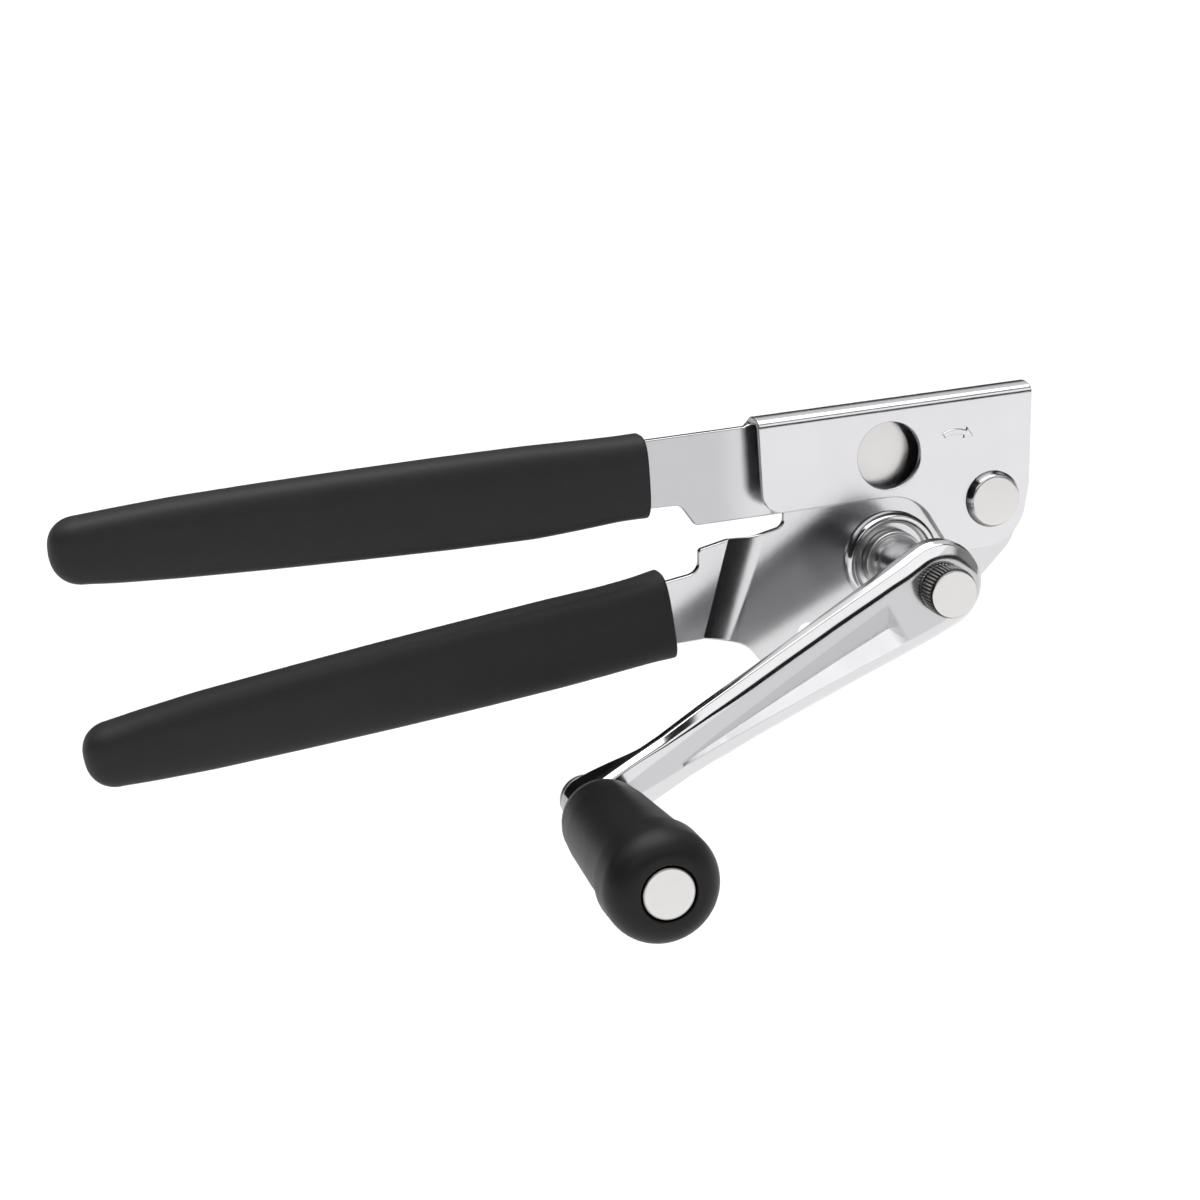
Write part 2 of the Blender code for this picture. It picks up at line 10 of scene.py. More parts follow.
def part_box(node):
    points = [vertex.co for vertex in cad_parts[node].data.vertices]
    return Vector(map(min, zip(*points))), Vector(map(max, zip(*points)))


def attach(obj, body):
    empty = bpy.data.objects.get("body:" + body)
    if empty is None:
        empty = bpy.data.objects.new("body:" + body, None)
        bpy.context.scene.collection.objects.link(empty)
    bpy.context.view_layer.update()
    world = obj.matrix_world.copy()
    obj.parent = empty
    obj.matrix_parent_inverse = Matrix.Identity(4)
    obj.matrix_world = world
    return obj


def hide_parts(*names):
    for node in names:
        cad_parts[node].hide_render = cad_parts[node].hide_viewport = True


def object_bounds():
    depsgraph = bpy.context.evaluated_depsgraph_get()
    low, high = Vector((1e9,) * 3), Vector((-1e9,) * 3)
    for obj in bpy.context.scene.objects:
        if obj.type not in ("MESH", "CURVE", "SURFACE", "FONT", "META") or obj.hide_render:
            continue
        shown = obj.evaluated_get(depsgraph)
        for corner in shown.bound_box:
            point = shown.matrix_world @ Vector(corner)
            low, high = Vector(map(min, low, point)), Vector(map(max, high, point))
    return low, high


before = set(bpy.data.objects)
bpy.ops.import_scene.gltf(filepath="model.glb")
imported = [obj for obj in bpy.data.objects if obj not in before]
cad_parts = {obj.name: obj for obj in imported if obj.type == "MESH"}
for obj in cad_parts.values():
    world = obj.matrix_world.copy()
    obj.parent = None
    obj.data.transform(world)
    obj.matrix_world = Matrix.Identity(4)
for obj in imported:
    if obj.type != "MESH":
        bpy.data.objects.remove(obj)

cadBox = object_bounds()
scene = bpy.context.scene

# Sizes below are in millimetres from where the crank shaft's axis meets the head's front face:
# x towards the head, y away from the crank side, z up.
capLow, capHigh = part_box("shaft_cap")
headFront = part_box("upper_frame")[0].y
origin = np.array([(capLow.x + capHigh.x) / 2, headFront, (capLow.z + capHigh.z) / 2]) * 1000

shaftAxis = (0.0, 0.0)
cutterAxis = (0.0, 21.3)
pivotAxis = (22.5, 9.85)
armLength, armAngle = 80.5, math.radians(206.6)
knobAxis = (armLength * math.cos(armAngle), armLength * math.sin(armAngle))
print("frame loaded, shaft axis at", origin.round(2), "mm")


def smoothStep(u):
    u = np.clip(u, 0.0, 1.0)
    return u * u * (3 - 2 * u)


def gridFaces(rows, columns, wrap=True):
    # quads between neighbouring rows of points; wrap closes each row on itself
    r, c = np.meshgrid(np.arange(rows - 1), np.arange(columns if wrap else columns - 1), indexing="ij")
    n = (c + 1) % columns
    near, far = r * columns, (r + 1) * columns
    return np.stack([near + c, near + n, far + n, far + c], -1).reshape(-1, 4)


def newPiece(name, points, faces, body, stands, slot, finish, sharp=16.0):
    # a mesh from points in millimetres and a list of face arrays, merged, facing out and riding on its body;
    # a fourth column, if there is one, says how far round its edge a point lies, and is kept for the finish
    mesh = bpy.data.meshes.new(name)
    points = np.asarray(points, float)
    place = ((points[:, :3] + origin) * 0.001).astype(np.float32)
    loops = np.concatenate([f.ravel() for f in faces]).astype(np.int32)
    sizes = np.concatenate([np.full(len(f), f.shape[1]) for f in faces])
    mesh.vertices.add(len(place))
    mesh.vertices.foreach_set("co", place.ravel())
    mesh.loops.add(len(loops))
    mesh.loops.foreach_set("vertex_index", loops)
    mesh.polygons.add(len(sizes))
    mesh.polygons.foreach_set("loop_start", np.concatenate([[0], np.cumsum(sizes)[:-1]]).astype(np.int32))
    mesh.update(calc_edges=True)
    if points.shape[1] > 3:
        mesh.attributes.new("rim", "FLOAT", "POINT").data.foreach_set("value", points[:, 3].astype(np.float32))
    bm = bmesh.new()
    bm.from_mesh(mesh)
    bmesh.ops.remove_doubles(bm, verts=bm.verts[:], dist=5e-7)
    bmesh.ops.dissolve_degenerate(bm, edges=bm.edges[:], dist=1e-7)
    bmesh.ops.recalc_face_normals(bm, faces=bm.faces[:])
    bm.to_mesh(mesh)
    bm.free()
    mesh.shade_smooth()
    mesh.set_sharp_from_angle(angle=math.radians(sharp))
    mesh.materials.append(finish)
    piece = bpy.data.objects.new(name, mesh)
    scene.collection.objects.link(piece)
    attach(piece, body)
    if stands:
        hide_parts(*stands)
    return piece


def roundedLine(corners, closed, turnStep=4.0):
    # each corner (a, b, radius) becomes the arc that touches both of its sides
    points = np.array([c[:2] for c in corners], float)
    radii = [c[2] if len(c) > 2 else 0.0 for c in corners]
    into = points - np.roll(points, 1, 0)
    into /= np.maximum(np.linalg.norm(into, axis=1, keepdims=True), 1e-9)
    out = np.roll(into, -1, 0)
    turns = np.arctan2(into[:, 0] * out[:, 1] - into[:, 1] * out[:, 0], (into * out).sum(1))
    made = []
    for i, (point, radius, way, turn) in enumerate(zip(points, radii, into, turns)):
        atEnd = not closed and i in (0, len(points) - 1)
        if not radius or atEnd or abs(turn) < 0.01:
            made.append(point[None])
            continue
        side = np.sign(turn) * np.array([-way[1], way[0]])
        centre = point - way * radius * math.tan(abs(turn) / 2) + side * radius
        a = np.linspace(0, abs(turn), max(3, math.ceil(math.degrees(abs(turn)) / turnStep)) + 1)[:, None]
        made.append(centre - side * radius * np.cos(a) + way * radius * np.sin(a))
    return np.concatenate(made)


def evenly(loop, step):
    # splits each side of a closed outline into parts no longer than step
    ahead = np.roll(loop, -1, 0) - loop
    counts = np.maximum(1, np.ceil(np.linalg.norm(ahead, axis=1) / step)).astype(int)
    index = np.repeat(np.arange(len(loop)), counts)
    share = np.concatenate([np.arange(c) / c for c in counts])
    return loop[index] + ahead[index] * share[:, None]


def circle(centre, radius, count=96):
    a = np.linspace(0, math.tau, count, endpoint=False)
    return np.stack([centre[0] + radius * np.cos(a), centre[1] + radius * np.sin(a)], -1)


def windLoop(loop, anticlockwise):
    ahead = np.roll(loop, -1, 0)
    area = (loop[:, 0] * ahead[:, 1] - loop[:, 1] * ahead[:, 0]).sum()
    return loop if (area > 0) == anticlockwise else loop[::-1]


def insideLoop(points, loop):
    # even-odd rule, for all points and sides at once
    a, b = loop[None], np.roll(loop, -1, 0)[None]
    p = points[:, None]
    spans = (a[..., 1] > p[..., 1]) != (b[..., 1] > p[..., 1])
    rise = np.where(b[..., 1] == a[..., 1], 1.0, b[..., 1] - a[..., 1])
    crossing = a[..., 0] + (p[..., 1] - a[..., 1]) / rise * (b[..., 0] - a[..., 0])
    return (spans & (p[..., 0] < crossing)).sum(1) % 2 == 1


def leftOf(loop):
    # unit-offset direction at each point of a closed loop: the left side, stretched at corners
    into = loop - np.roll(loop, 1, 0)
    into /= np.maximum(np.linalg.norm(into, axis=1, keepdims=True), 1e-9)
    out = np.roll(into, -1, 0)
    way = into + out
    way /= np.maximum(np.linalg.norm(way, axis=1, keepdims=True), 1e-9)
    stretch = 1 / np.clip((way * into).sum(1), 0.5, 1.0)
    return np.stack([-way[:, 1], way[:, 0]], -1) * stretch[:, None]


def roundEdge(width, drop, steps=6):
    # a quarter ellipse from the face to the side: inset = width (1 - sin t), drop (1 - cos t)
    t = np.linspace(0, math.pi / 2, steps + 1)
    return np.stack([width * (1 - np.sin(t)), drop * (1 - np.cos(t))], -1)


def slab(loops, front, back, frontEdge, backEdge, bend, creases=(), inner=None, holeEdge=None, guard=0.12, narrow=None):
    # Points and faces of a plate. Its outlines lie in its own plane (a, b), the first outside and the rest holes.
    # front and back give the depth of its faces at any (a, b), an edge is rows of (inset, drop) from the face to
    # the side, narrow scales the outer edge's inset from place to place, and bend(a, b, depth) puts a point where
    # it goes. guard is a narrow strip of the face kept inside every edge, so that long faces don't shade across it.
    loops = [windLoop(loop, i == 0) for i, loop in enumerate(loops)]
    holeEdge = frontEdge if holeEdge is None else holeEdge
    share = [narrow(loops[0])[:, None] if narrow and k == 0 else 1.0 for k in range(len(loops))]
    points, faces, start = [], [], 0
    deepest = max(frontEdge[-1, 1], backEdge[-1, 1])
    for k, loop in enumerate(loops):
        left = leftOf(loop)
        near, far = (frontEdge if k == 0 else holeEdge), (backEdge if k == 0 else holeEdge)
        rows = [(near[0, 0] + guard, 0.0, True), *((*row, True) for row in near)]
        rows += [*((*row, False) for row in far[::-1]), (far[0, 0] + guard, 0.0, False)]
        for inset, drop, isFront in rows:
            p = loop + left * inset * share[k]
            depth = front(p[:, 0], p[:, 1]) + drop if isFront else back(p[:, 0], p[:, 1]) - drop
            rounded = drop / (holeEdge[-1, 1] if k else deepest)
            points.append(np.column_stack([bend(p[:, 0], p[:, 1], depth), np.full(len(p), rounded)]))
        faces.append(gridFaces(len(rows), len(loop)) + start)
        start += len(rows) * len(loop)
    for isFront in (True, False):
        outside = (frontEdge if isFront else backEdge)[0, 0]
        insets = [(guard + (holeEdge[0, 0] if k else outside)) * share[k] for k in range(len(loops))]
        rims = [loop + leftOf(loop) * inset for loop, inset in zip(loops, insets)]
        rims = [rim.astype(np.float32).astype(float) for rim in rims]  # as exact as the triangulation's own points
        chains = [np.asarray(c, float) for c in creases] if isFront else []
        flat = rims + chains
        if inner is not None:
            flat.append(inner[insideLoop(inner, rims[0])])
        ends = np.cumsum([len(f) for f in flat])
        edges = []
        for k, chain in enumerate(rims + chains):
            index = np.arange(len(chain)) + (ends[k] - len(chain))
            closing = np.roll(index, -1)
            pairs = np.stack([index, closing], -1)
            edges += (pairs if k < len(rims) else pairs[:-1]).tolist()
        made = delaunay_2d_cdt([Vector(p) for p in np.concatenate(flat)], edges, [], 0, 1e-7)
        plane = np.array([tuple(v) for v in made[0]])
        triangles = np.array(made[2])
        centres = plane[triangles].mean(1)
        keep = insideLoop(centres, rims[0])
        for hole in rims[1:]:
            keep &= ~insideLoop(centres, hole)
        depth = (front if isFront else back)(plane[:, 0], plane[:, 1])
        points.append(np.column_stack([bend(plane[:, 0], plane[:, 1], depth), np.zeros(len(plane))]))
        faces.append(triangles[keep] + start)
        start += len(plane)
    return np.concatenate(points), faces


def flatBend(a, b, depth):
    return np.stack([a, depth, b], -1)


def flatAt(y):
    return lambda a, b: np.full_like(a, y)


def turned(profile, centre, segments=128, ring=False):
    # a profile of (y, r) carried round a line along y: x = cx + r cos a, z = cz + r sin a
    profile = np.asarray(profile, float)
    if ring:
        profile = np.concatenate([profile, profile[:1]])
    a = np.linspace(0, math.tau, segments, endpoint=False)
    y, r = profile[:, :1], profile[:, 1:2]
    points = np.stack([centre[0] + r * np.cos(a), y + 0 * a, centre[1] + r * np.sin(a)], -1)
    return points.reshape(-1, 3), [gridFaces(len(profile), segments)]


class Wire:
    # one socket of a node, so that shader maths reads as ordinary maths
    def __init__(self, tree, socket):
        self.tree, self.socket = tree, socket

    def maths(self, operation, first, second):
        node = self.tree.nodes.new("ShaderNodeMath")
        node.operation = operation
        for socket, value in zip(node.inputs, (first, second)):
            if isinstance(value, Wire):
                self.tree.links.new(value.socket, socket)
            else:
                socket.default_value = value
        return Wire(self.tree, node.outputs[0])

    def __add__(self, other): return self.maths("ADD", self, other)
    def __radd__(self, other): return self.maths("ADD", other, self)
    def __sub__(self, other): return self.maths("SUBTRACT", self, other)
    def __rsub__(self, other): return self.maths("SUBTRACT", other, self)
    def __mul__(self, other): return self.maths("MULTIPLY", self, other)
    def __rmul__(self, other): return self.maths("MULTIPLY", other, self)
    def __pow__(self, other): return self.maths("POWER", self, other)
    def __abs__(self): return self.maths("ABSOLUTE", self, 0.0)


class NodeMaker:
    # adds any node: its type, its settings, then the values or links of its sockets
    def __init__(self, tree):
        self.tree = tree

    def node(self, kind, settings, sockets, output=0):
        made = self.tree.nodes.new(kind)
        for setting, value in settings.items():
            setattr(made, setting, value)
        for socket, value in sockets.items():
            if isinstance(value, Wire):
                self.tree.links.new(value.socket, made.inputs[socket])
            else:
                made.inputs[socket].default_value = value
        return Wire(self.tree, made.outputs[output])

    def ramp(self, value, low, high):
        # 0 up to low and 1 from high on, eased between them
        sockets = {"Value": value, "From Min": low, "From Max": high}
        return self.node("ShaderNodeMapRange", {"interpolation_type": "SMOOTHSTEP"}, sockets, "Result")


class Finish(NodeMaker):
    # a material with one Principled shader
    def __init__(self, name, **constants):
        self.material = bpy.data.materials.new(name)
        self.material.use_nodes = True
        super().__init__(self.material.node_tree)
        self.shader = self.tree.nodes["Principled BSDF"]
        self.coords = self.node("ShaderNodeTexCoord", {}, {}, "Object")
        for socket, value in constants.items():
            self.shader.inputs[socket.replace("_", " ")].default_value = value

    def feed(self, socket, wire):
        self.tree.links.new(wire.socket, self.shader.inputs[socket])

    def noise(self, scale, detail=3.0, rough=0.55, vector=None):
        sockets = {"Vector": vector or self.coords, "Scale": scale, "Detail": detail, "Roughness": rough}
        return self.node("ShaderNodeTexNoise", {}, sockets, "Fac")

    def stretched(self, x, y, z):
        return self.node("ShaderNodeMapping", {}, {"Vector": self.coords, "Scale": (x, y, z)}, "Vector")

    def between(self, amount, low, high):
        # a value that runs from low to high as amount runs from 0 to 1
        return amount * (high - low) + low

    def tint(self, amount, low, high):
        # the same between two colours, or two wires that carry colours
        low, high = (colour if isinstance(colour, Wire) else (*colour, 1.0) for colour in (low, high))
        return self.node("ShaderNodeMix", {"data_type": "RGBA"}, {"Factor": amount, "A": low, "B": high}, "Result")

    def paintedEdgeShade(self):
        # painted shade: a sheet's rounded edges, round its outline and its holes, are painted darker than its faces
        return self.ramp(self.node("ShaderNodeAttribute", {"attribute_name": "rim"}, {}, "Fac"), 0.25, 0.8)

    def fromPoint(self, point):
        # millimetres along x and z from a point of the opener
        axes = [self.node("ShaderNodeSeparateXYZ", {}, {"Vector": self.coords}, axis) for axis in "XZ"]
        return [axis * 1000.0 - (near + offset) for axis, near, offset in zip(axes, point, (origin[0], origin[2]))]

    def fromAxis(self, point):
        x, z = self.fromPoint(point)
        return (x * x + z * z) ** 0.5

    def fromLine(self, point, angle):
        x, z = self.fromPoint(point)
        return x * math.sin(angle) - z * math.cos(angle), x * math.cos(angle) + z * math.sin(angle)

    def bump(self, height, depth):
        self.feed("Normal", self.node("ShaderNodeBump", {}, {"Height": height, "Distance": depth}, "Normal"))


def grey(value):
    return value, value, value * 1.02  # plating is faintly blue


def satinSheet():
    # plated sheet steel: a fine isotropic grain with a faint lengthwise draw, and painted shade that darkens it along
    # the handle
    f = Finish("satinSheet", Metallic=1.0)
    grain = f.noise(6500, 2.0, 0.6)
    draw = f.noise(7000, 2.0, 0.5, f.stretched(0.03, 1, 1))
    face = f.tint(f.noise(70), (0.66, 0.66, 0.675), (0.73, 0.73, 0.745))
    # painted shade: darker from 26 mm to 36 mm out from the shaft towards the handle
    face = f.tint(f.ramp(f.fromPoint(shaftAxis)[0] * -1.0, 26.0, 36.0) * 0.9, face, grey(0.5))
    # the rounded edges get painted shade
    f.feed("Base Color", f.tint(f.paintedEdgeShade(), face, f.tint(f.noise(2500), (0.14, 0.14, 0.14), (0.3, 0.3, 0.3))))
    f.feed("Roughness", f.between(f.noise(160), 0.17, 0.24))
    f.bump(grain * 0.6 + draw * 0.4, 0.000007)
    return f.material


def polishedHead():
    # the lower head plate: the same plating left smooth
    f = Finish("polishedHead", Metallic=1.0)
    grain = f.noise(5200, 2.0, 0.6)
    face = f.tint(f.noise(45), (0.62, 0.62, 0.63), (0.68, 0.68, 0.69))
    # the rounded edges get painted shade
    f.feed("Base Color", f.tint(f.paintedEdgeShade(), face, f.tint(f.noise(2500), (0.14, 0.14, 0.14), (0.3, 0.3, 0.3))))
    f.feed("Roughness", f.between(f.noise(160), 0.13, 0.18))
    f.bump(grain, 0.000004)
    return f.material


def polishedChrome():
    f = Finish("polishedChrome", Metallic=1.0)
    f.feed("Base Color", f.tint(f.noise(50), (0.66, 0.66, 0.67), (0.72, 0.72, 0.73)))
    f.feed("Roughness", f.between(f.noise(300), 0.09, 0.14))
    f.bump(f.noise(5200, 2.0, 0.6), 0.000003)
    return f.material


def crankChrome():
    # polished along its chamfered edges, softer on the flat face, darker on the back with painted shade; the hollow's
    # slopes carry painted light, the upper one painted shade and the lower one a painted highlight
    f = Finish("crankChrome", Metallic=1.0)
    across, along = f.fromLine(shaftAxis, armAngle)
    inside = f.ramp(9.0 - along * 0.0613 - abs(across), 2.7, 3.1)  # 1 on the flat face, 0 on the chamfer
    share = (along - 13.0) * (1 / 48.5)  # 0 to 1 along the hollow
    upperLine, valley, lowerLine = 3.45 - share * 4.6, share * 0.1 - 1.7, share * 3.3 - 5.35
    inLength = f.ramp(along, 11.0, 11.4) * f.ramp(61.5 - along, 0.0, 0.3)
    # painted shade on the hollow's upper slope
    upperSlopeShade = f.ramp(across - valley, 0.0, 0.05) * f.ramp(upperLine - across, 0.0, 0.05) * inLength
    # painted highlight on the hollow's lower slope
    lowerSlopeHighlight = f.ramp(across - lowerLine, 0.0, 0.05) * f.ramp(valley - across, 0.0, 0.05)
    lowerSlopeHighlight = lowerSlopeHighlight * f.ramp(along, 11.5, 13.5) * f.ramp(61.5 - along, 0.0, 0.3)
    y = f.node("ShaderNodeSeparateXYZ", {}, {"Vector": f.coords}, "Y") * 1000.0 - origin[1]
    # painted shade: the arm's back is darkened
    back = f.ramp(y - along * 0.05, -20.2, -19.0)
    face = f.tint(inside, f.tint(f.noise(50), (0.63, 0.63, 0.64), (0.69, 0.69, 0.70)), grey(0.54))
    face = f.tint(back * 0.7, f.tint(lowerSlopeHighlight, face, grey(0.78)), grey(0.16))
    f.feed("Base Color", f.tint(upperSlopeShade * 0.65, face, grey(0.42)))
    f.feed("Roughness", f.noise(300) * 0.05 + inside * 0.09 + 0.07)
    f.bump(f.noise(5200, 2.0, 0.6), 0.000003)
    return f.material


def studSteel(name, centre, faceR, side):
    # a satin turned face with faint rings inside faceR, and outside it a side with its own gloss whose colour runs
    # between two tones; on the knurled cap and the rivet that side is painted dark, a painted reflection
    f = Finish(name, Metallic=1.0)
    r = f.fromAxis(centre)
    outside = f.ramp(r, faceR, faceR + 0.12)
    rings = f.node("ShaderNodeTexNoise", {"noise_dimensions": "1D"}, {"W": r, "Scale": 9.0, "Detail": 3.0}, "Fac")
    face = f.tint(f.noise(500) * 0.5 + rings * 0.5, (0.62, 0.61, 0.60), (0.74, 0.73, 0.72))
    # the side's tones: on the knurled cap and the rivet a painted dark reflection
    edge = f.tint(f.ramp(r, *side["between"]), *side["shades"])
    f.feed("Base Color", f.tint(outside, face, edge))
    f.feed("Roughness", outside * (side["rough"] - 0.25) + rings * 0.06 + 0.22)
    f.bump(rings * 0.5 + f.noise(3500) * 0.5, 0.000006)
    return f.material


def turnedSteel():
    f = Finish("turnedSteel", Metallic=1.0)
    f.feed("Base Color", f.tint(f.noise(700), (0.66, 0.65, 0.64), (0.73, 0.72, 0.71)))
    f.feed("Roughness", f.between(f.noise(900), 0.26, 0.36))
    f.bump(f.noise(3000), 0.000006)
    return f.material


def toolSteel():
    f = Finish("toolSteel", Metallic=1.0)
    f.feed("Base Color", f.tint(f.noise(400), (0.50, 0.50, 0.51), (0.60, 0.60, 0.61)))
    f.feed("Roughness", f.between(f.noise(1200, 3.0), 0.25, 0.38))
    f.bump(f.noise(2500), 0.000008)
    return f.material


def gripVinyl():
    f = Finish("gripVinyl", Specular_IOR_Level=0.3)
    f.feed("Base Color", f.tint(f.noise(90, 3.0), (0.012, 0.012, 0.0135), (0.017, 0.017, 0.019)))
    f.feed("Roughness", f.between(f.noise(900), 0.52, 0.62))
    f.bump(f.noise(3400, 3.0, 0.6), 0.00002)
    return f.material


def knobRubber():
    f = Finish("knobRubber", Specular_IOR_Level=0.25)
    f.feed("Base Color", f.tint(f.noise(120, 3.0), (0.0055, 0.0055, 0.0065), (0.009, 0.009, 0.0105)))
    f.feed("Roughness", f.between(f.noise(700), 0.40, 0.50))
    f.bump(f.noise(2600, 3.0, 0.6), 0.000014)
    return f.material


# the sides of the round heads: where their shade changes, its two ends, and the roughness; the knurled cap's and the
# rivet's dark sides are painted reflection and shade
studSides = {
    # painted dark reflection on the knurled side, darkest in its grooves as painted shade
    "knurl": {"between": (4.8, 5.1), "shades": ((0.02, 0.02, 0.02), (0.30, 0.30, 0.30)), "rough": 0.3},
    # painted dark reflection on the rivet's side
    "rivet": {"between": (5.2, 5.9), "shades": ((0.45, 0.45, 0.45), (0.12, 0.12, 0.12)), "rough": 0.1},
    "pin": {"between": (4.6, 5.0), "shades": ((0.45, 0.45, 0.46), (0.25, 0.25, 0.26)), "rough": 0.35},
    "disc": {"between": (8.3, 8.4), "shades": ((0.5, 0.5, 0.5), (0.6, 0.6, 0.6)), "rough": 0.15},
}
# the stud's head is eccentric, which sets the blade's gap as it is riveted
cutterStud = {"offset": (-2.4, 0.34), "headR": 8.4, "face": 4.0}
studHead = (cutterAxis[0] + cutterStud["offset"][0], cutterAxis[1] + cutterStud["offset"][1])

satin, headChrome, chrome, crankFinish = satinSheet(), polishedHead(), polishedChrome(), crankChrome()
knurledSteel = studSteel("knurledSteel", shaftAxis, 4.62, studSides["knurl"])
rivetSteel = studSteel("rivetSteel", pivotAxis, 5.15, studSides["rivet"])
pinSteel = studSteel("pinSteel", knobAxis, 4.55, studSides["pin"])
discSteel = studSteel("discSteel", studHead, 8.3, studSides["disc"])
steel, hardSteel, vinyl, rubber = turnedSteel(), toolSteel(), gripVinyl(), knobRubber()
print("finishes made")


sheet = {
    "gauge": 1.5, "front": 0.0, "lower": 1.8, "back": 5.55, "top": 33.0,  # y of each plate's front face, z of the fold
    "bend": 1.0, "turn": 70.0,  # the fold's two tight bends, and how far each turns before the crown between them
    "edge": 0.28, "bore": 4.03,
}
half = sheet["gauge"] / 2
backMid, frontMid, lowerMid = sheet["back"] + half, sheet["front"] + half, sheet["lower"] + half


def foldLine():
    # the fold's mid line by its length: a bend, a shallow crown and a bend, each of constant curvature,
    # so its heading grows evenly along each and its place is the running sum of its heading
    turn, r = math.radians(sheet["turn"]), sheet["bend"]
    crown = math.pi - 2 * turn
    crownR = (backMid - frontMid - 2 * r * (1 - math.cos(turn))) / (2 * math.sin(crown / 2))
    ends = np.cumsum([0, r * turn, crownR * crown, r * turn])
    s = np.linspace(0, ends[-1], 2001)
    heading = np.interp(s, ends, [0, turn, turn + crown, math.pi])
    middle = (heading[1:] + heading[:-1]) / 2
    y = -np.concatenate([[0], np.cumsum(np.sin(middle) * np.diff(s))])
    z = np.concatenate([[0], np.cumsum(np.cos(middle) * np.diff(s))])
    return s, heading, y, z, ends, z.max()


foldS, foldHeading, foldY, foldZ, foldEnds, foldRise = foldLine()
bendZ = sheet["top"] - half - foldRise
frontStart = bendZ + foldEnds[-1]


def foldHead(x, s, depth):
    # up the back plate, over the fold and down the front plate; depth is measured inwards from mid sheet
    over = s - bendZ
    heading = np.interp(over, foldS, foldHeading)
    y = backMid + np.interp(over, foldS, foldY)
    z = np.minimum(s, bendZ) + np.interp(over, foldS, foldZ) - np.clip(s - frontStart, 0, None)
    return np.stack([x, y - depth * np.cos(heading), z - depth * np.sin(heading)], -1)


def onFront(x, z, radius=0.0):
    return x, frontStart + bendZ - z, radius


upperCorners = [
    (-156.0, 20.0, 3.0), (-52.0, 16.9), (-43.2, 16.6, 2.2), (-40.3, 12.0, 1.2), (2.0, 11.6, 5.0), (11.0, 1.0, 6.0),
    (30.0, 1.0, 8.0), (31.4, 16.0), (31.4, bendZ - 1.0), (32.2, bendZ + 0.2),
    onFront(32.2, bendZ - 0.2), onFront(31.0, 12.0, 8.0), onFront(28.2, -0.3, 9.5), onFront(13.4, -0.3, 6.0),
    onFront(5.4, 13.25, 10.0), onFront(-27.5, 13.3, 4.3), onFront(-27.5, bendZ - 0.2),
    (-27.5, bendZ + 0.6, 0.4), (-28.6, 30.8, 0.4), (-52.0, 30.8), (-156.0, 29.0, 3.0),
]
accessHole = {"centre": (0.1, 22.0), "radius": 6.9}
# extra points along the fold, closest at its bends
bendLines = bendZ + np.concatenate([
    [-0.5, -0.12], np.linspace(0, foldEnds[1], 10), np.linspace(foldEnds[1], foldEnds[2], 14)[1:-1],
    np.linspace(foldEnds[2], foldEnds[3], 10), foldEnds[3] + np.array([0.12, 0.5]),
])
acrossHead = np.concatenate([[-26.98], np.linspace(-26.6, 31.2, 30), [31.62]])
bendPoints = np.stack(np.meshgrid(acrossHead, bendLines), -1).reshape(-1, 2)
upperLoops = [
    evenly(roundedLine(upperCorners, True), 0.22),
    circle(onFront(*accessHole["centre"])[:2], accessHole["radius"]),
    circle(cutterAxis, 3.53), circle(pivotAxis, sheet["bore"]), circle(onFront(*pivotAxis)[:2], sheet["bore"]),
]
edge = roundEdge(sheet["edge"], sheet["edge"])
shape = slab(upperLoops, flatAt(-half), flatAt(half), edge, edge, foldHead, inner=bendPoints)
newPiece("upperFrame", *shape, "upper_half", ["upper_frame"], "plated_sheet", satin)

joggle = {"normal": (0.9468, -0.3218), "start": -34.4, "end": -28.6, "early": 0.15}


def stepBack(x, z, depth):
    # the sheet steps forward across the slanted band: its slope rises over the first part, then falls evenly to
    # nothing; depth runs along the sheet's own normal
    nx, nz = joggle["normal"]
    span = joggle["end"] - joggle["start"]
    u = np.clip((x * nx + z * nz - joggle["start"]) / span, 0, 1)
    early = joggle["early"]
    share = np.where(u < early, u * u / early, 1 - (1 - u) ** 2 / (1 - early))
    y = backMid + (lowerMid - backMid) * share
    slope = (lowerMid - backMid) * 2 * np.where(u < early, u / early, (1 - u) / (1 - early)) / span
    size = np.sqrt(1 + slope * slope)
    return np.stack([x - depth * slope * nx / size, y + depth / size, z - depth * slope * nz / size], -1)


lowerCorners = [
    (-154.0, -20.2, 3.0), (-46.0, -12.1), (-33.0, -12.0, 9.5), (-25.0, -24.0, 4.0), (3.0, -19.5, 14.0),
    (15.5, -11.0, 8.0), (28.2, 0.5, 9.0), (30.2, 19.5, 7.0), (13.0, 19.5, 4.2), (11.2, 14.2, 3.3), (-22.5, 14.2, 1.5),
    (-22.9, 10.1, 1.9), (-39.9, 6.9, 0.9), (-40.3, 2.2, 2.6), (-46.4, 1.4), (-154.0, -11.4, 3.0),
]
across = np.linspace(joggle["start"], joggle["end"], 24)
across = np.concatenate([across[0] - np.array([0.6, 0.15]), across, across[-1] + np.array([0.15, 0.6])])
bandD, bandT = np.meshgrid(across, np.linspace(-26, 4, 30))
nx, nz = joggle["normal"]
bandPoints = np.stack([bandD * nx - bandT * nz, bandD * nz + bandT * nx], -1).reshape(-1, 2)
lowerLoops = [
    evenly(roundedLine(lowerCorners, True), 0.3),
    circle(pivotAxis, 4.06), circle(shaftAxis, 5.43), circle((-19.0, -12.8), 2.0, 48),
]
shape = slab(lowerLoops, flatAt(-half), flatAt(half), edge, edge, stepBack, inner=bandPoints)
newPiece("lowerHandle", *shape, "lower_half", ["lower_handle"], "plated_sheet", headChrome)
print("stamped halves made")


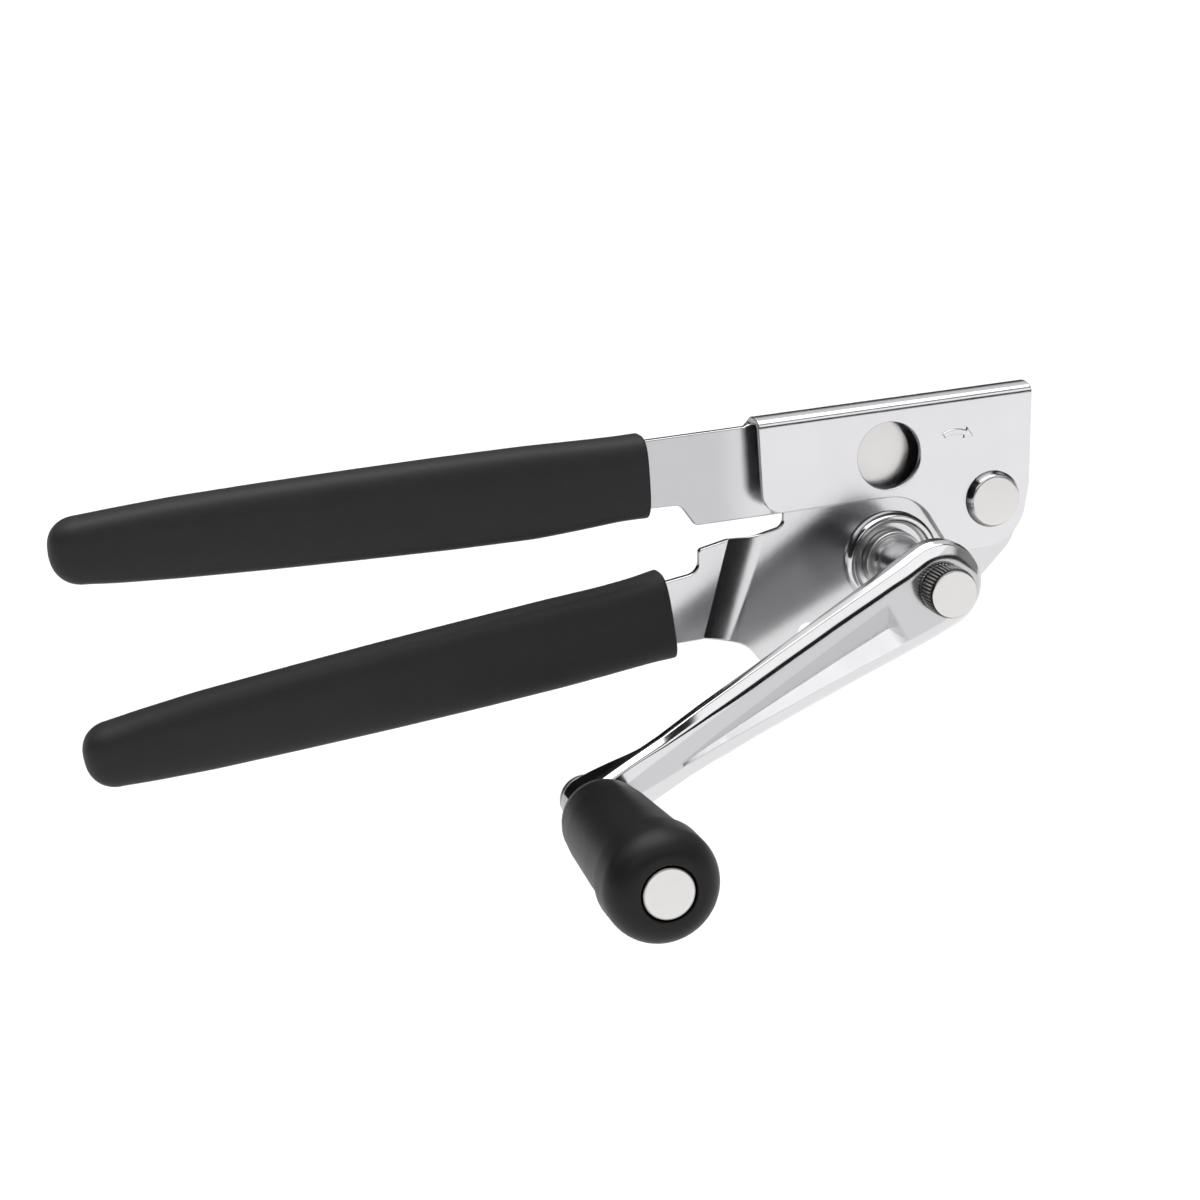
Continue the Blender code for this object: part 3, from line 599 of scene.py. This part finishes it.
gripShape = {
    "halfThick": 5.4, "power": 0.62, "dome": 5.2, "lip": 0.55, "around": 96,
    "slotDeep": half + 0.3, "slotEnd": 0.925, "slotTip": 5.2,  # the strip's slot: half depth, share of length, end height
}
upperGrip = {
    "mouth": (-50.4, 23.6), "tip": (-167.2, 25.2), "slotMouth": 7.55,
    "heights": [  # share of the length, half height above the axis and below it
        (0.0, 8.55, 8.35), (0.012, 8.5, 8.3), (0.05, 8.4, 8.3), (0.11, 8.5, 8.9), (0.2, 8.7, 9.6), (0.35, 8.6, 9.5),
        (0.5, 8.3, 9.1), (0.65, 7.9, 8.6), (0.8, 7.3, 7.9), (0.9, 6.5, 7.2), (0.95, 6.0, 6.6), (1.0, 5.6, 6.1),
    ],
}
lowerGrip = {
    "mouth": (-47.6, -5.57), "tip": (-166.0, -16.2), "slotMouth": 7.35,
    "heights": [
        (0.0, 9.4, 9.0), (0.012, 9.2, 8.9), (0.05, 8.7, 8.8), (0.11, 8.5, 9.0), (0.2, 8.6, 9.2), (0.35, 8.5, 9.1),
        (0.5, 8.3, 8.8), (0.65, 7.9, 8.3), (0.8, 7.4, 7.7), (0.9, 6.6, 6.9), (0.95, 6.0, 6.3), (1.0, 5.6, 5.8),
    ],
}


def gripSleeve(grip):
    # along the grip the half heights above and below its axis follow the table; round it the section is a soft
    # rectangle: height = h |sin a|^p, depth = d |cos a|^p. It ends in a dome and opens at a rolled lip.
    start, end = np.array(grip["mouth"]), np.array(grip["tip"])
    length = np.linalg.norm(end - start)
    way = (end - start) / length
    up = np.array([way[1], -way[0]])
    share, above, below = (np.array(c) for c in zip(*grip["heights"]))
    dome, lipR, power, around = gripShape["dome"] / length, gripShape["lip"], gripShape["power"], gripShape["around"]
    halfThick = gripShape["halfThick"]
    flat = np.linspace(lipR / length, 1 - dome, 120)
    arc = np.linspace(0, math.pi / 2, 22)[1:]
    u = np.concatenate([flat, 1 - dome + dome * np.sin(arc)])
    shrink = np.concatenate([np.ones_like(flat), np.cos(arc) ** 0.8])
    kernel = np.hanning(9) / np.hanning(9).sum()
    tables = (np.interp(u, share, v) for v in (above, below))
    high, low = (np.convolve(np.pad(v, 4, "edge"), kernel, "valid") for v in tables)
    a = np.linspace(0, math.tau, around, endpoint=False)
    ca, sa = np.cos(a), np.sin(a)

    def rings(at, hUp, hDown, deep, p):
        # one row of points for each value of its arguments
        at, hUp, hDown, deep, p = (np.asarray(v, float)[:, None] for v in np.broadcast_arrays(at, hUp, hDown, deep, p))
        h = np.sign(sa) * np.abs(sa) ** p * np.where(sa > 0, hUp, hDown)
        d = np.sign(ca) * np.abs(ca) ** p * deep
        return np.stack([start[0] + way[0] * length * at + up[0] * h, backMid + d,
                         start[1] + way[1] * length * at + up[1] * h], -1)

    outside = rings(u, high * shrink, low * shrink, halfThick * shrink, power)[::-1]
    lip = np.linspace(math.pi / 2, -math.pi / 2, 14)
    inset = lipR * (np.sin(lip) - 1)
    lips = rings((lipR - lipR * np.cos(lip)) / length, high[0] + inset, low[0] + inset, halfThick + inset, power)
    # the slot narrows from the mouth's rounded section to the strip's own flat one
    at = np.array([(lipR - lipR * math.cos(lip[-1])) / length, 0.012, gripShape["slotEnd"] / 2, gripShape["slotEnd"]])
    k = np.array([0.0, 1.0, 1.0, 1.0])
    strip = grip["slotMouth"] + (gripShape["slotTip"] - grip["slotMouth"]) * at / gripShape["slotEnd"]
    upper, lower, deep = high[0] - 2 * lipR, low[0] - 2 * lipR, halfThick - 2 * lipR
    slot = rings(at, upper + (strip - upper) * k, lower + (strip - lower) * k,
                 deep + (gripShape["slotDeep"] - deep) * k, power + (0.12 - power) * k)
    points = np.concatenate([outside, lips, slot])
    caps = [points[0].mean(0), points[-1].mean(0)]
    count = len(points) * around
    i = np.arange(around)
    far = np.stack([i, (i + 1) % around, np.full(around, count)], -1)
    near = np.stack([i + count - around, (i + 1) % around + count - around, np.full(around, count + 1)], -1)
    return np.concatenate([points.reshape(-1, 3), caps]), [gridFaces(len(points), around), far, near]


newPiece("upperGrip", *gripSleeve(upperGrip), "upper_half", ["upper_grip"], "grip_vinyl", vinyl, 40)
newPiece("lowerGrip", *gripSleeve(lowerGrip), "lower_half", ["lower_grip"], "grip_vinyl", vinyl, 40)
print("grips made")


def turnedPiece(name, piece):
    corners = roundedLine(piece["profile"], piece.get("ring", False), 9.0)
    points, faces = turned(corners, piece["at"], piece.get("segments", 128), piece.get("ring", False))
    if "offset" in piece:  # an eccentric head: everything in front of the shoulder moves sideways
        points[points[:, 1] < piece["shoulder"]] += (piece["offset"][0], 0.0, piece["offset"][1])
    return newPiece(name, points, faces, piece["body"], [piece["node"]], piece["slot"], piece["finish"], 24)


pivotRivet = {
    "at": pivotAxis, "body": "upper_half", "node": "pivot_rivet", "slot": "turned_steel", "finish": rivetSteel,
    "profile": [  # y, radius and, where there is one, the corner's own rounding
        (-1.75, 0.0), (-1.75, 5.2, 0.75), (-0.6, 5.7, 0.5), (-0.12, 5.98, 0.1), (-0.1, 4.0), (7.15, 4.0),
        (7.2, 5.6, 0.3), (8.0, 5.2, 0.3), (8.4, 3.6, 0.3), (8.4, 0.0),
    ],
}
pivotWasher = {
    "at": pivotAxis, "body": "upper_half", "node": "pivot_washer", "slot": "turned_steel", "finish": steel,
    "ring": True,
    "profile": [(3.5, 4.03), (3.5, 8.2, 0.2), (5.35, 8.2, 0.2), (5.35, 4.03)],
}
cutterStud |= {
    "at": cutterAxis, "body": "upper_half", "node": "cutter_stud", "slot": "turned_steel", "finish": discSteel,
    "shoulder": 5.43,
    "profile": [
        (cutterStud["face"], 0.0), (cutterStud["face"], cutterStud["headR"], 0.12), (5.4, cutterStud["headR"], 0.1),
        (5.44, 3.5), (15.2, 3.5), (15.25, 5.0, 0.3), (15.9, 4.9, 0.3), (16.4, 4.0, 0.4), (16.4, 0.0),
    ],
}
cutterWheel = {
    "at": cutterAxis, "body": "cutter", "node": "cutter_wheel", "slot": "tool_steel", "finish": hardSteel, "ring": True,
    "profile": [
        (12.35, 3.56), (12.35, 9.65, 0.05), (12.45, 9.8, 0.05), (13.9, 7.7, 0.3), (14.15, 7.4, 0.3), (14.15, 3.56),
    ],
}
cutterSpacer = {
    "at": cutterAxis, "body": "cutter", "node": "cutter_spacer", "slot": "turned_steel", "finish": steel, "ring": True,
    "profile": [(9.65, 3.56), (9.65, 5.6, 0.2), (12.2, 5.6, 0.2), (12.2, 3.56)],
}
cutterWasher = {
    "at": cutterAxis, "body": "upper_half", "node": "cutter_washer", "slot": "turned_steel", "finish": steel,
    "ring": True,
    "profile": [(14.35, 3.53), (14.35, 5.6, 0.12), (15.0, 5.6, 0.12), (15.0, 3.53)],
}
turnedPiece("pivotRivet", pivotRivet)
turnedPiece("pivotWasher", pivotWasher)
turnedPiece("cutterStud", cutterStud)
turnedPiece("cutterWheel", cutterWheel)
turnedPiece("cutterSpacer", cutterSpacer)
turnedPiece("cutterWasher", cutterWasher)

gears = {
    "feed": 18, "cutter": 14, "pressure": math.radians(20), "tip": 0.85, "root": 1.15, "play": 0.16,
    "y": (7.5, 9.5), "edge": 0.1,
}
module = 2 * cutterAxis[1] / (gears["feed"] + gears["cutter"])  # the two shafts set the size of the teeth
feedWheel = {"points": 28, "tip": 12.0, "root": 10.9, "y": (9.7, 12.1), "edge": 0.08}


def involute(ratio):
    # inv = sqrt(q^2 - 1) - atan(sqrt(q^2 - 1)), for the ratio q of a radius to the base circle's
    slope = np.sqrt(np.maximum(np.asarray(ratio) ** 2 - 1, 0))
    return slope - np.arctan(slope)


def gearLoop(centre, teeth, firstTooth):
    # involute flanks: a point at radius r is turned from the tooth's middle by its half angle less inv(r)
    pitch = teeth * module / 2
    base = pitch * math.cos(gears["pressure"])
    tip, root = pitch + gears["tip"] * module, pitch - gears["root"] * module
    widest = math.pi / (2 * teeth) + involute(pitch / base) - gears["play"] / pitch
    r = np.linspace(max(root, base), tip, 7)
    flank = widest - involute(r / base)
    radii = np.concatenate([[root], r, r[::-1], [root]])
    turn = np.concatenate([[-widest * 1.02], -flank, flank[::-1], [widest * 1.02]])
    angle = firstTooth + math.tau * np.arange(teeth)[:, None] / teeth + turn
    return np.stack([centre[0] + radii * np.cos(angle), centre[1] + radii * np.sin(angle)], -1).reshape(-1, 2)


def pointedLoop(points, tip, root):
    # the radius steps between tip and root, twice for each point
    i = np.arange(2 * points)
    radius, a = np.where(i % 2 == 0, tip, root), i * math.pi / points
    return np.stack([radius * np.cos(a), radius * np.sin(a)], -1)


def flatPiece(name, loops, piece, body, node):
    small = roundEdge(piece["edge"], piece["edge"], 3)
    made = slab(loops, flatAt(piece["y"][0]), flatAt(piece["y"][1]), small, small, flatBend)
    return newPiece(name, *made, body, [node], "tool_steel", hardSteel, 24)


# the feed gear has a tooth straight up, and the cutter's gear a gap straight down
cutterLoop = gearLoop(cutterAxis, gears["cutter"], math.pi / gears["cutter"] - math.pi / 2)
feedLoop = gearLoop(shaftAxis, gears["feed"], math.pi / 2)
wheelLoop = pointedLoop(feedWheel["points"], feedWheel["tip"], feedWheel["root"])
flatPiece("cutterGear", [cutterLoop, circle(cutterAxis, 3.56)], gears, "cutter", "cutter_gear")
flatPiece("feedGear", [feedLoop, circle(shaftAxis, 3.03)], gears, "crank", "feed_gear")
flatPiece("feedWheel", [wheelLoop, circle(shaftAxis, 3.03)], feedWheel, "crank", "feed_wheel")

driveShaft = {
    "at": shaftAxis, "body": "crank", "node": "drive_shaft", "slot": "turned_steel", "finish": steel,
    "profile": [
        (-24.6, 0.0), (-24.6, 3.0), (12.25, 3.0), (12.3, 4.7, 0.3), (13.2, 4.5, 0.4), (13.7, 3.4, 0.3), (13.7, 0.0),
    ],
}
shaftCollar = {
    "at": shaftAxis, "body": "lower_half", "node": "shaft_collar", "slot": "plated_sheet", "finish": chrome,
    "ring": True, "segments": 160,
    "profile": [
        (1.75, 7.5), (0.9, 7.7, 0.25), (0.55, 8.25, 0.35), (-0.15, 8.6, 0.35), (-0.15, 9.35, 0.4), (0.7, 9.95, 0.5),
        (1.75, 10.05),
    ],
}
shaftBushing = {
    "at": shaftAxis, "body": "lower_half", "node": "shaft_bushing", "slot": "turned_steel", "finish": steel,
    "ring": True,
    "profile": [
        (-1.0, 3.06), (-1.0, 5.75, 0.1), (-0.9, 6.25, 0.3), (1.5, 6.35, 0.3), (1.6, 5.4), (7.2, 5.4, 0.2), (7.2, 3.06),
    ],
}
shaftSpacer = {
    "at": shaftAxis, "body": "crank", "node": "shaft_spacer", "slot": "turned_steel", "finish": satin, "ring": True,
    "profile": [
        (-18.4, 3.03), (-18.4, 4.7), (-8.0, 4.8, 6.0), (-3.4, 5.2, 3.0), (-1.9, 5.6, 0.6), (-1.2, 5.5, 0.2),
        (-1.2, 3.03),
    ],
}
turnedPiece("driveShaft", driveShaft)
turnedPiece("shaftCollar", shaftCollar)
turnedPiece("shaftBushing", shaftBushing)
turnedPiece("shaftSpacer", shaftSpacer)

knurl = {"count": 44, "depth": 0.32, "radius": 5.1, "front": -29.55, "back": -24.75, "roundness": 0.35, "segments": 528}


def knurledCap():
    # the side's radius is R - depth (1 - |cos(n a / 2)|^1.5), faded out at the rounded front edge
    a = np.linspace(0, math.tau, knurl["segments"], endpoint=False)
    groove = knurl["depth"] * (1 - np.abs(np.cos(knurl["count"] * a / 2)) ** 1.5)
    y0, y1, r, soft = knurl["front"], knurl["back"], knurl["radius"], knurl["roundness"]
    t = np.linspace(0, math.pi / 2, 8)
    face = np.array([(y0, inner, 0.0) for inner in (0.0, 2.4, 4.2)])
    rim = np.stack([y0 + soft * (1 - np.cos(t)), r - 0.65 + soft * np.sin(t), 0 * t], -1)
    side = np.array([  # y, radius and how deep the knurling is there
        (y0 + 0.75, r - 0.12, 0.8), (y0 + 1.0, r, 1.0), (y1 - 0.4, r, 1.0), (y1 - 0.15, r - 0.2, 0.8),
        (y1, r - 0.5, 0.0), (y1, 0.0, 0.0),
    ])
    rows = np.concatenate([face, rim, side])
    radius = rows[:, 1:2] - rows[:, 2:3] * groove
    points = np.stack([radius * np.cos(a), rows[:, :1] + 0 * a, radius * np.sin(a)], -1)
    return points.reshape(-1, 3), [gridFaces(len(rows), knurl["segments"])]


newPiece("shaftCap", *knurledCap(), "crank", ["shaft_cap"], "turned_steel", knurledSteel, 30)
print("turned pieces made")


arm = {
    "bossR": 9.0, "endR": 5.2, "taperEnd": 62.0, "bore": 3.03, "pinBore": 2.63,
    "front": ((-10, -24.2), (6, -24.2), (14, -23.2), (24, -21.8), (36, -20.5), (53, -18.9), (70, -18.3), (90, -18.3)),
    "back": (
        (-10, -18.7), (10, -18.7), (24, -17.9), (40, -17.1), (58, -16.1), (67, -15.3), (75, -11.4), (79, -10.0),
        (90, -10.0),
    ),
    "chamfer": ((3.75, 0.0), (2.75, 0.0, 3.4), (0.5, 1.3, 0.75), (0.0, 2.6)), "backEdge": (0.9, 0.9),
    "hollowStart": 11.0, "hollowFloor": 13.0, "hollowEnd": 61.5,
    "hollowHigh": (3.45, -1.15), "hollowLow": (-5.35, -2.05), "hollowMid": (-1.7, -1.6), "hollowDeep": (2.0, 0.2),
}
armWay = np.array([math.cos(armAngle), 0, math.sin(armAngle)])
armSide = np.array([math.sin(armAngle), 0, -math.cos(armAngle)])


def softLine(table):
    # straight runs between the table's points, blurred over 6 mm so that the corners between them are soft
    s = np.linspace(-12, 92, 1041)
    y = np.interp(s, [p[0] for p in table], [p[1] for p in table])
    kernel = np.hanning(61) / np.hanning(61).sum()
    y = np.convolve(np.pad(y, 30, "edge"), kernel, "valid")
    return lambda at: np.interp(at, s, y)


armFront, armBack = softLine(arm["front"]), softLine(arm["back"])


def hollowLine(key, s):
    low, high = arm[key]
    return low + (high - low) * (s - arm["hollowFloor"]) / (arm["hollowEnd"] - arm["hollowFloor"])


def hollowDepth(s, t):
    # a V across the arm whose valley gets shallower to its point, met by a slanted wall at the boss end
    high, low, mid = (hollowLine(k, s) for k in ("hollowHigh", "hollowLow", "hollowMid"))
    deep = hollowLine("hollowDeep", s)
    v = np.where(t > mid, (high - t) / (high - mid), (t - low) / (mid - low)) * deep
    wall = (s - arm["hollowStart"]) * arm["hollowDeep"][0] / (arm["hollowFloor"] - arm["hollowStart"])
    tip = (arm["hollowEnd"] - s) * 0.5
    return np.clip(np.minimum(np.minimum(v, wall), tip), 0, None)


def armPlace(s, t, y):
    return s[:, None] * armWay + t[:, None] * armSide + y[:, None] * np.array([0, 1, 0])


def armOutline():
    taper = math.degrees(math.asin((arm["bossR"] - arm["endR"]) / arm["taperEnd"]))
    boss = np.radians(np.linspace(90 - taper, 270 + taper, 70))
    end = np.radians(np.linspace(-90, 90, 50))
    loop = np.concatenate([
        np.stack([arm["bossR"] * np.cos(boss), arm["bossR"] * np.sin(boss)], -1),
        [(arm["taperEnd"], -arm["endR"] - 0.1)],
        np.stack([armLength + arm["endR"] * np.cos(end), arm["endR"] * np.sin(end)], -1),
        [(arm["taperEnd"], arm["endR"] + 0.1)],
    ])
    return evenly(loop, 0.8)


def armNarrow(loop):
    # the chamfer is widest along the upper side, and narrows towards the knob
    return (1 - 0.62 * smoothStep((loop[:, 0] - 40) / 32)) * (0.5 + 0.5 * smoothStep((loop[:, 1] + 4) / 8))


start, floor, end = arm["hollowStart"], arm["hollowFloor"], arm["hollowEnd"]
upperCorner = (start, hollowLine("hollowHigh", start))
lowerCorner = (start, hollowLine("hollowLow", start))
inner = (floor, arm["hollowMid"][0])
tipHigh, tipLow = (end, arm["hollowHigh"][1]), (end, arm["hollowLow"][1])
tipMid = (end - 0.4, hollowLine("hollowMid", end - 0.4))


def chain(first, last, parts=24):
    return np.linspace(first, last, parts + 1)


creases = [
    np.concatenate([
        chain(tipHigh, upperCorner), chain(upperCorner, lowerCorner, 8)[1:], chain(lowerCorner, tipLow)[1:],
        chain(tipLow, tipHigh, 2)[1:],
    ]),
    np.concatenate([chain(upperCorner, inner, 8), chain(inner, tipMid)[1:]])[1:],
    chain(lowerCorner, inner, 8)[1:-1],
]
# rows of points along the arm, left out round the hollow's slanted end wall
armRows = np.array([-6.2, -3.9, -2.6, 0.0, 1.4, 4.6, 6.4])
armGrid = np.stack(np.meshgrid(np.arange(-8, 86, 1.5), armRows), -1).reshape(-1, 2)
nearWall = (armGrid[:, 0] > start - 0.6) & (armGrid[:, 0] < floor + 0.6)
armGrid = armGrid[~(nearWall & (np.abs(armGrid[:, 1]) < 7))]
shape = slab(
    [armOutline(), circle(shaftAxis, arm["bore"]), circle((armLength, 0), arm["pinBore"])],
    lambda s, t: armFront(s) + hollowDepth(s, t), lambda s, t: armBack(s),
    roundedLine(arm["chamfer"], False, 3.0), roundEdge(*arm["backEdge"], 18), armPlace,
    creases, armGrid, roundEdge(0.15, 0.15, 3), narrow=armNarrow,
)
newPiece("crankArm", *shape, "crank", ["crank_arm"], "chrome_crank", crankFinish, 7)
print("crank arm made")

knobPin = {
    "at": knobAxis, "body": "crank", "node": "knob_pin", "slot": "turned_steel", "finish": pinSteel,
    "profile": [
        (-62.65, 0.0), (-62.65, 4.95, 0.3), (-61.2, 5.02, 0.2), (-61.1, 2.6), (-9.5, 2.6), (-9.45, 4.9, 0.2),
        (-8.3, 4.9, 0.4), (-7.9, 4.3, 0.3), (-7.9, 0.0),
    ],
}
knobWasher = {
    "at": knobAxis, "body": "crank", "node": "knob_washer", "slot": "turned_steel", "finish": steel, "ring": True,
    "profile": [(-19.15, 2.63), (-19.15, 6.6, 0.15), (-18.5, 6.6, 0.15), (-18.5, 2.63)],
}
knobSleeve = {
    "at": knobAxis, "body": "knob", "node": "knob_sleeve", "slot": "tool_steel", "finish": hardSteel, "ring": True,
    "profile": [(-60.7, 2.66), (-60.7, 4.1), (-19.55, 4.1), (-19.55, 2.66)],
}
# the head's face is a quarter of an ellipse, y = -57.2 - 5.6 cos v and r = 6.3 + 4.7 sin v, from its disc to its widest
headTurn = np.linspace(0.12, math.pi / 2, 26)
crankKnob = {
    "at": knobAxis, "body": "knob", "node": "crank_knob", "slot": "knob_rubber", "finish": rubber,
    "ring": True, "segments": 160,
    "profile": [
        (-60.8, 4.15), (-60.8, 5.3, 0.2), (-62.75, 5.35, 0.3),
        *zip(-57.2 - 5.6 * np.cos(headTurn), 6.3 + 4.7 * np.sin(headTurn)),
        (-52.4, 11.0, 0.3), (-51.7, 10.15, 0.25), (-43.0, 9.85, 20.0), (-28.0, 9.05, 20.0), (-22.6, 8.5, 3.0),
        (-19.55, 7.7, 1.6), (-19.55, 4.15),
    ],
}
turnedPiece("knobPin", knobPin)
turnedPiece("knobWasher", knobWasher)
turnedPiece("knobSleeve", knobSleeve)
turnedPiece("crankKnob", crankKnob)
print("knob made")

# the raised mark for the way the crank turns: angles in degrees round its centre
turnArrow = {
    "centre": (14.6, 19.6), "radius": 5.45, "half": 0.6, "from": 117.0, "to": 66.0, "tip": (18.7, 23.65),
    "barbs": (1.3, -1.25), "rise": 0.28, "slope": 0.24, "sunk": 0.06,
}


def arrowLoop():
    # a band round a centre, then a triangle across its end
    mark = turnArrow

    def arc(offset, degrees):
        a, radius = np.radians(degrees), mark["radius"] + np.asarray(offset)
        return np.stack([mark["centre"][0] + radius * np.cos(a), mark["centre"][1] + radius * np.sin(a)], -1)

    band = np.linspace(mark["from"], mark["to"], 8)
    barbs = arc(mark["barbs"], np.full(2, mark["to"]))
    outline = [arc(mark["half"], band), barbs[:1], [mark["tip"]], barbs[1:], arc(-mark["half"], band[::-1])]
    return evenly(np.concatenate(outline), 0.8)


shape = slab(
    [arrowLoop()], flatAt(sheet["front"] - turnArrow["rise"]), flatAt(sheet["front"] + turnArrow["sunk"]),
    roundEdge(turnArrow["slope"], turnArrow["rise"]), roundEdge(0.02, 0.02, 1), flatBend, guard=0.02,
)
newPiece("turnArrow", *shape, "upper_half", [], "plated_sheet", satin, 30)
print("turning arrow made")

studio = {
    "floorDrop": 0.1, "floorHalf": 60.0,  # metres: low enough for the handles to open
    "room": 0.015, "overhead": 3.4, "rear": 0.75, "strip": 1.3, "side": 0.35, "below": 0.9, "backdrop": 0.9,
}


def stageFloor():
    size, z = studio["floorHalf"], cadBox[0].z - studio["floorDrop"]
    mesh = bpy.data.meshes.new("floor")
    mesh.from_pydata([(-size, -size, z), (size, -size, z), (size, size, z), (-size, size, z)], [], [(0, 1, 2, 3)])
    f = Finish("paleFloor", Roughness=0.8, Specular_IOR_Level=0.2)
    f.feed("Base Color", f.tint(f.noise(3), (0.90, 0.90, 0.90), (0.93, 0.93, 0.93)))
    mesh.materials.append(f.material)
    floor = bpy.data.objects.new("floor", mesh)
    scene.collection.objects.link(floor)


def studioWorld():
    # a dim room with a large soft light overhead, one behind, a long strip above the front and a weak right panel;
    # x, y and z are the parts of a unit direction, and a ramp whose ends are swapped fades downwards
    world = bpy.data.worlds.new("studio")
    world.use_nodes = True
    w = NodeMaker(world.node_tree)
    way = w.node("ShaderNodeTexCoord", {}, {}, "Generated")
    x, y, z = (w.node("ShaderNodeSeparateXYZ", {}, {"Vector": way}, axis) for axis in "XYZ")
    overhead = w.ramp(z, 0.84, 0.90)
    rear = w.ramp(z, 0.42, 0.52) * w.ramp(y, -0.1, 0.2)
    inFront = w.ramp(y, -0.30, -0.42) * w.ramp(z, 0.38, 0.44) * w.ramp(z, 0.74, 0.68)
    strip = inFront * w.ramp(x, -0.75, -0.60) * w.ramp(x, 0.80, 0.65)
    side = w.ramp(x, 0.72, 0.86) * w.ramp(z, -0.05, 0.1)
    below = w.ramp(z, 0.02, -0.04)
    light = studio["room"] + overhead * studio["overhead"] + rear * studio["rear"] + strip * studio["strip"]
    light = light + side * studio["side"] + below * studio["below"]
    # seen directly, past the floor's edge, the room is a plain pale backdrop
    seen = w.node("ShaderNodeLightPath", {}, {}, "Is Camera Ray")
    light = seen * studio["backdrop"] + (1.0 - seen) * light
    background = w.tree.nodes["Background"]
    background.inputs["Color"].default_value = (1, 1, 1, 1)
    w.tree.links.new(light.socket, background.inputs["Strength"])
    scene.world = world


stageFloor()
studioWorld()

view = {
    "place": (-0.18572, -0.44094, 0.12989), "lens": 72.0, "sensor": 36.0,  # metres from the shaft's axis
    "forward": (0.25813, 0.92749, -0.27042), "up": (0.14901, 0.23833, 0.95968),
    "right": (0.95455, -0.28802, -0.07669),
}
cameraData = bpy.data.cameras.new("camera")
cameraData.sensor_width, cameraData.lens = view["sensor"], view["lens"]
cameraData.clip_start, cameraData.clip_end = 0.01, 200
camera = bpy.data.objects.new("camera", cameraData)
axes = Matrix([view["right"], view["up"], [-v for v in view["forward"]]]).transposed()
camera.rotation_mode = "QUATERNION"
camera.rotation_quaternion = axes.to_quaternion()
camera.location = Vector(view["place"]) + Vector(origin * 0.001)
scene.collection.objects.link(camera)
scene.camera = camera
scene.view_settings.view_transform = "Standard"

print("stage made")
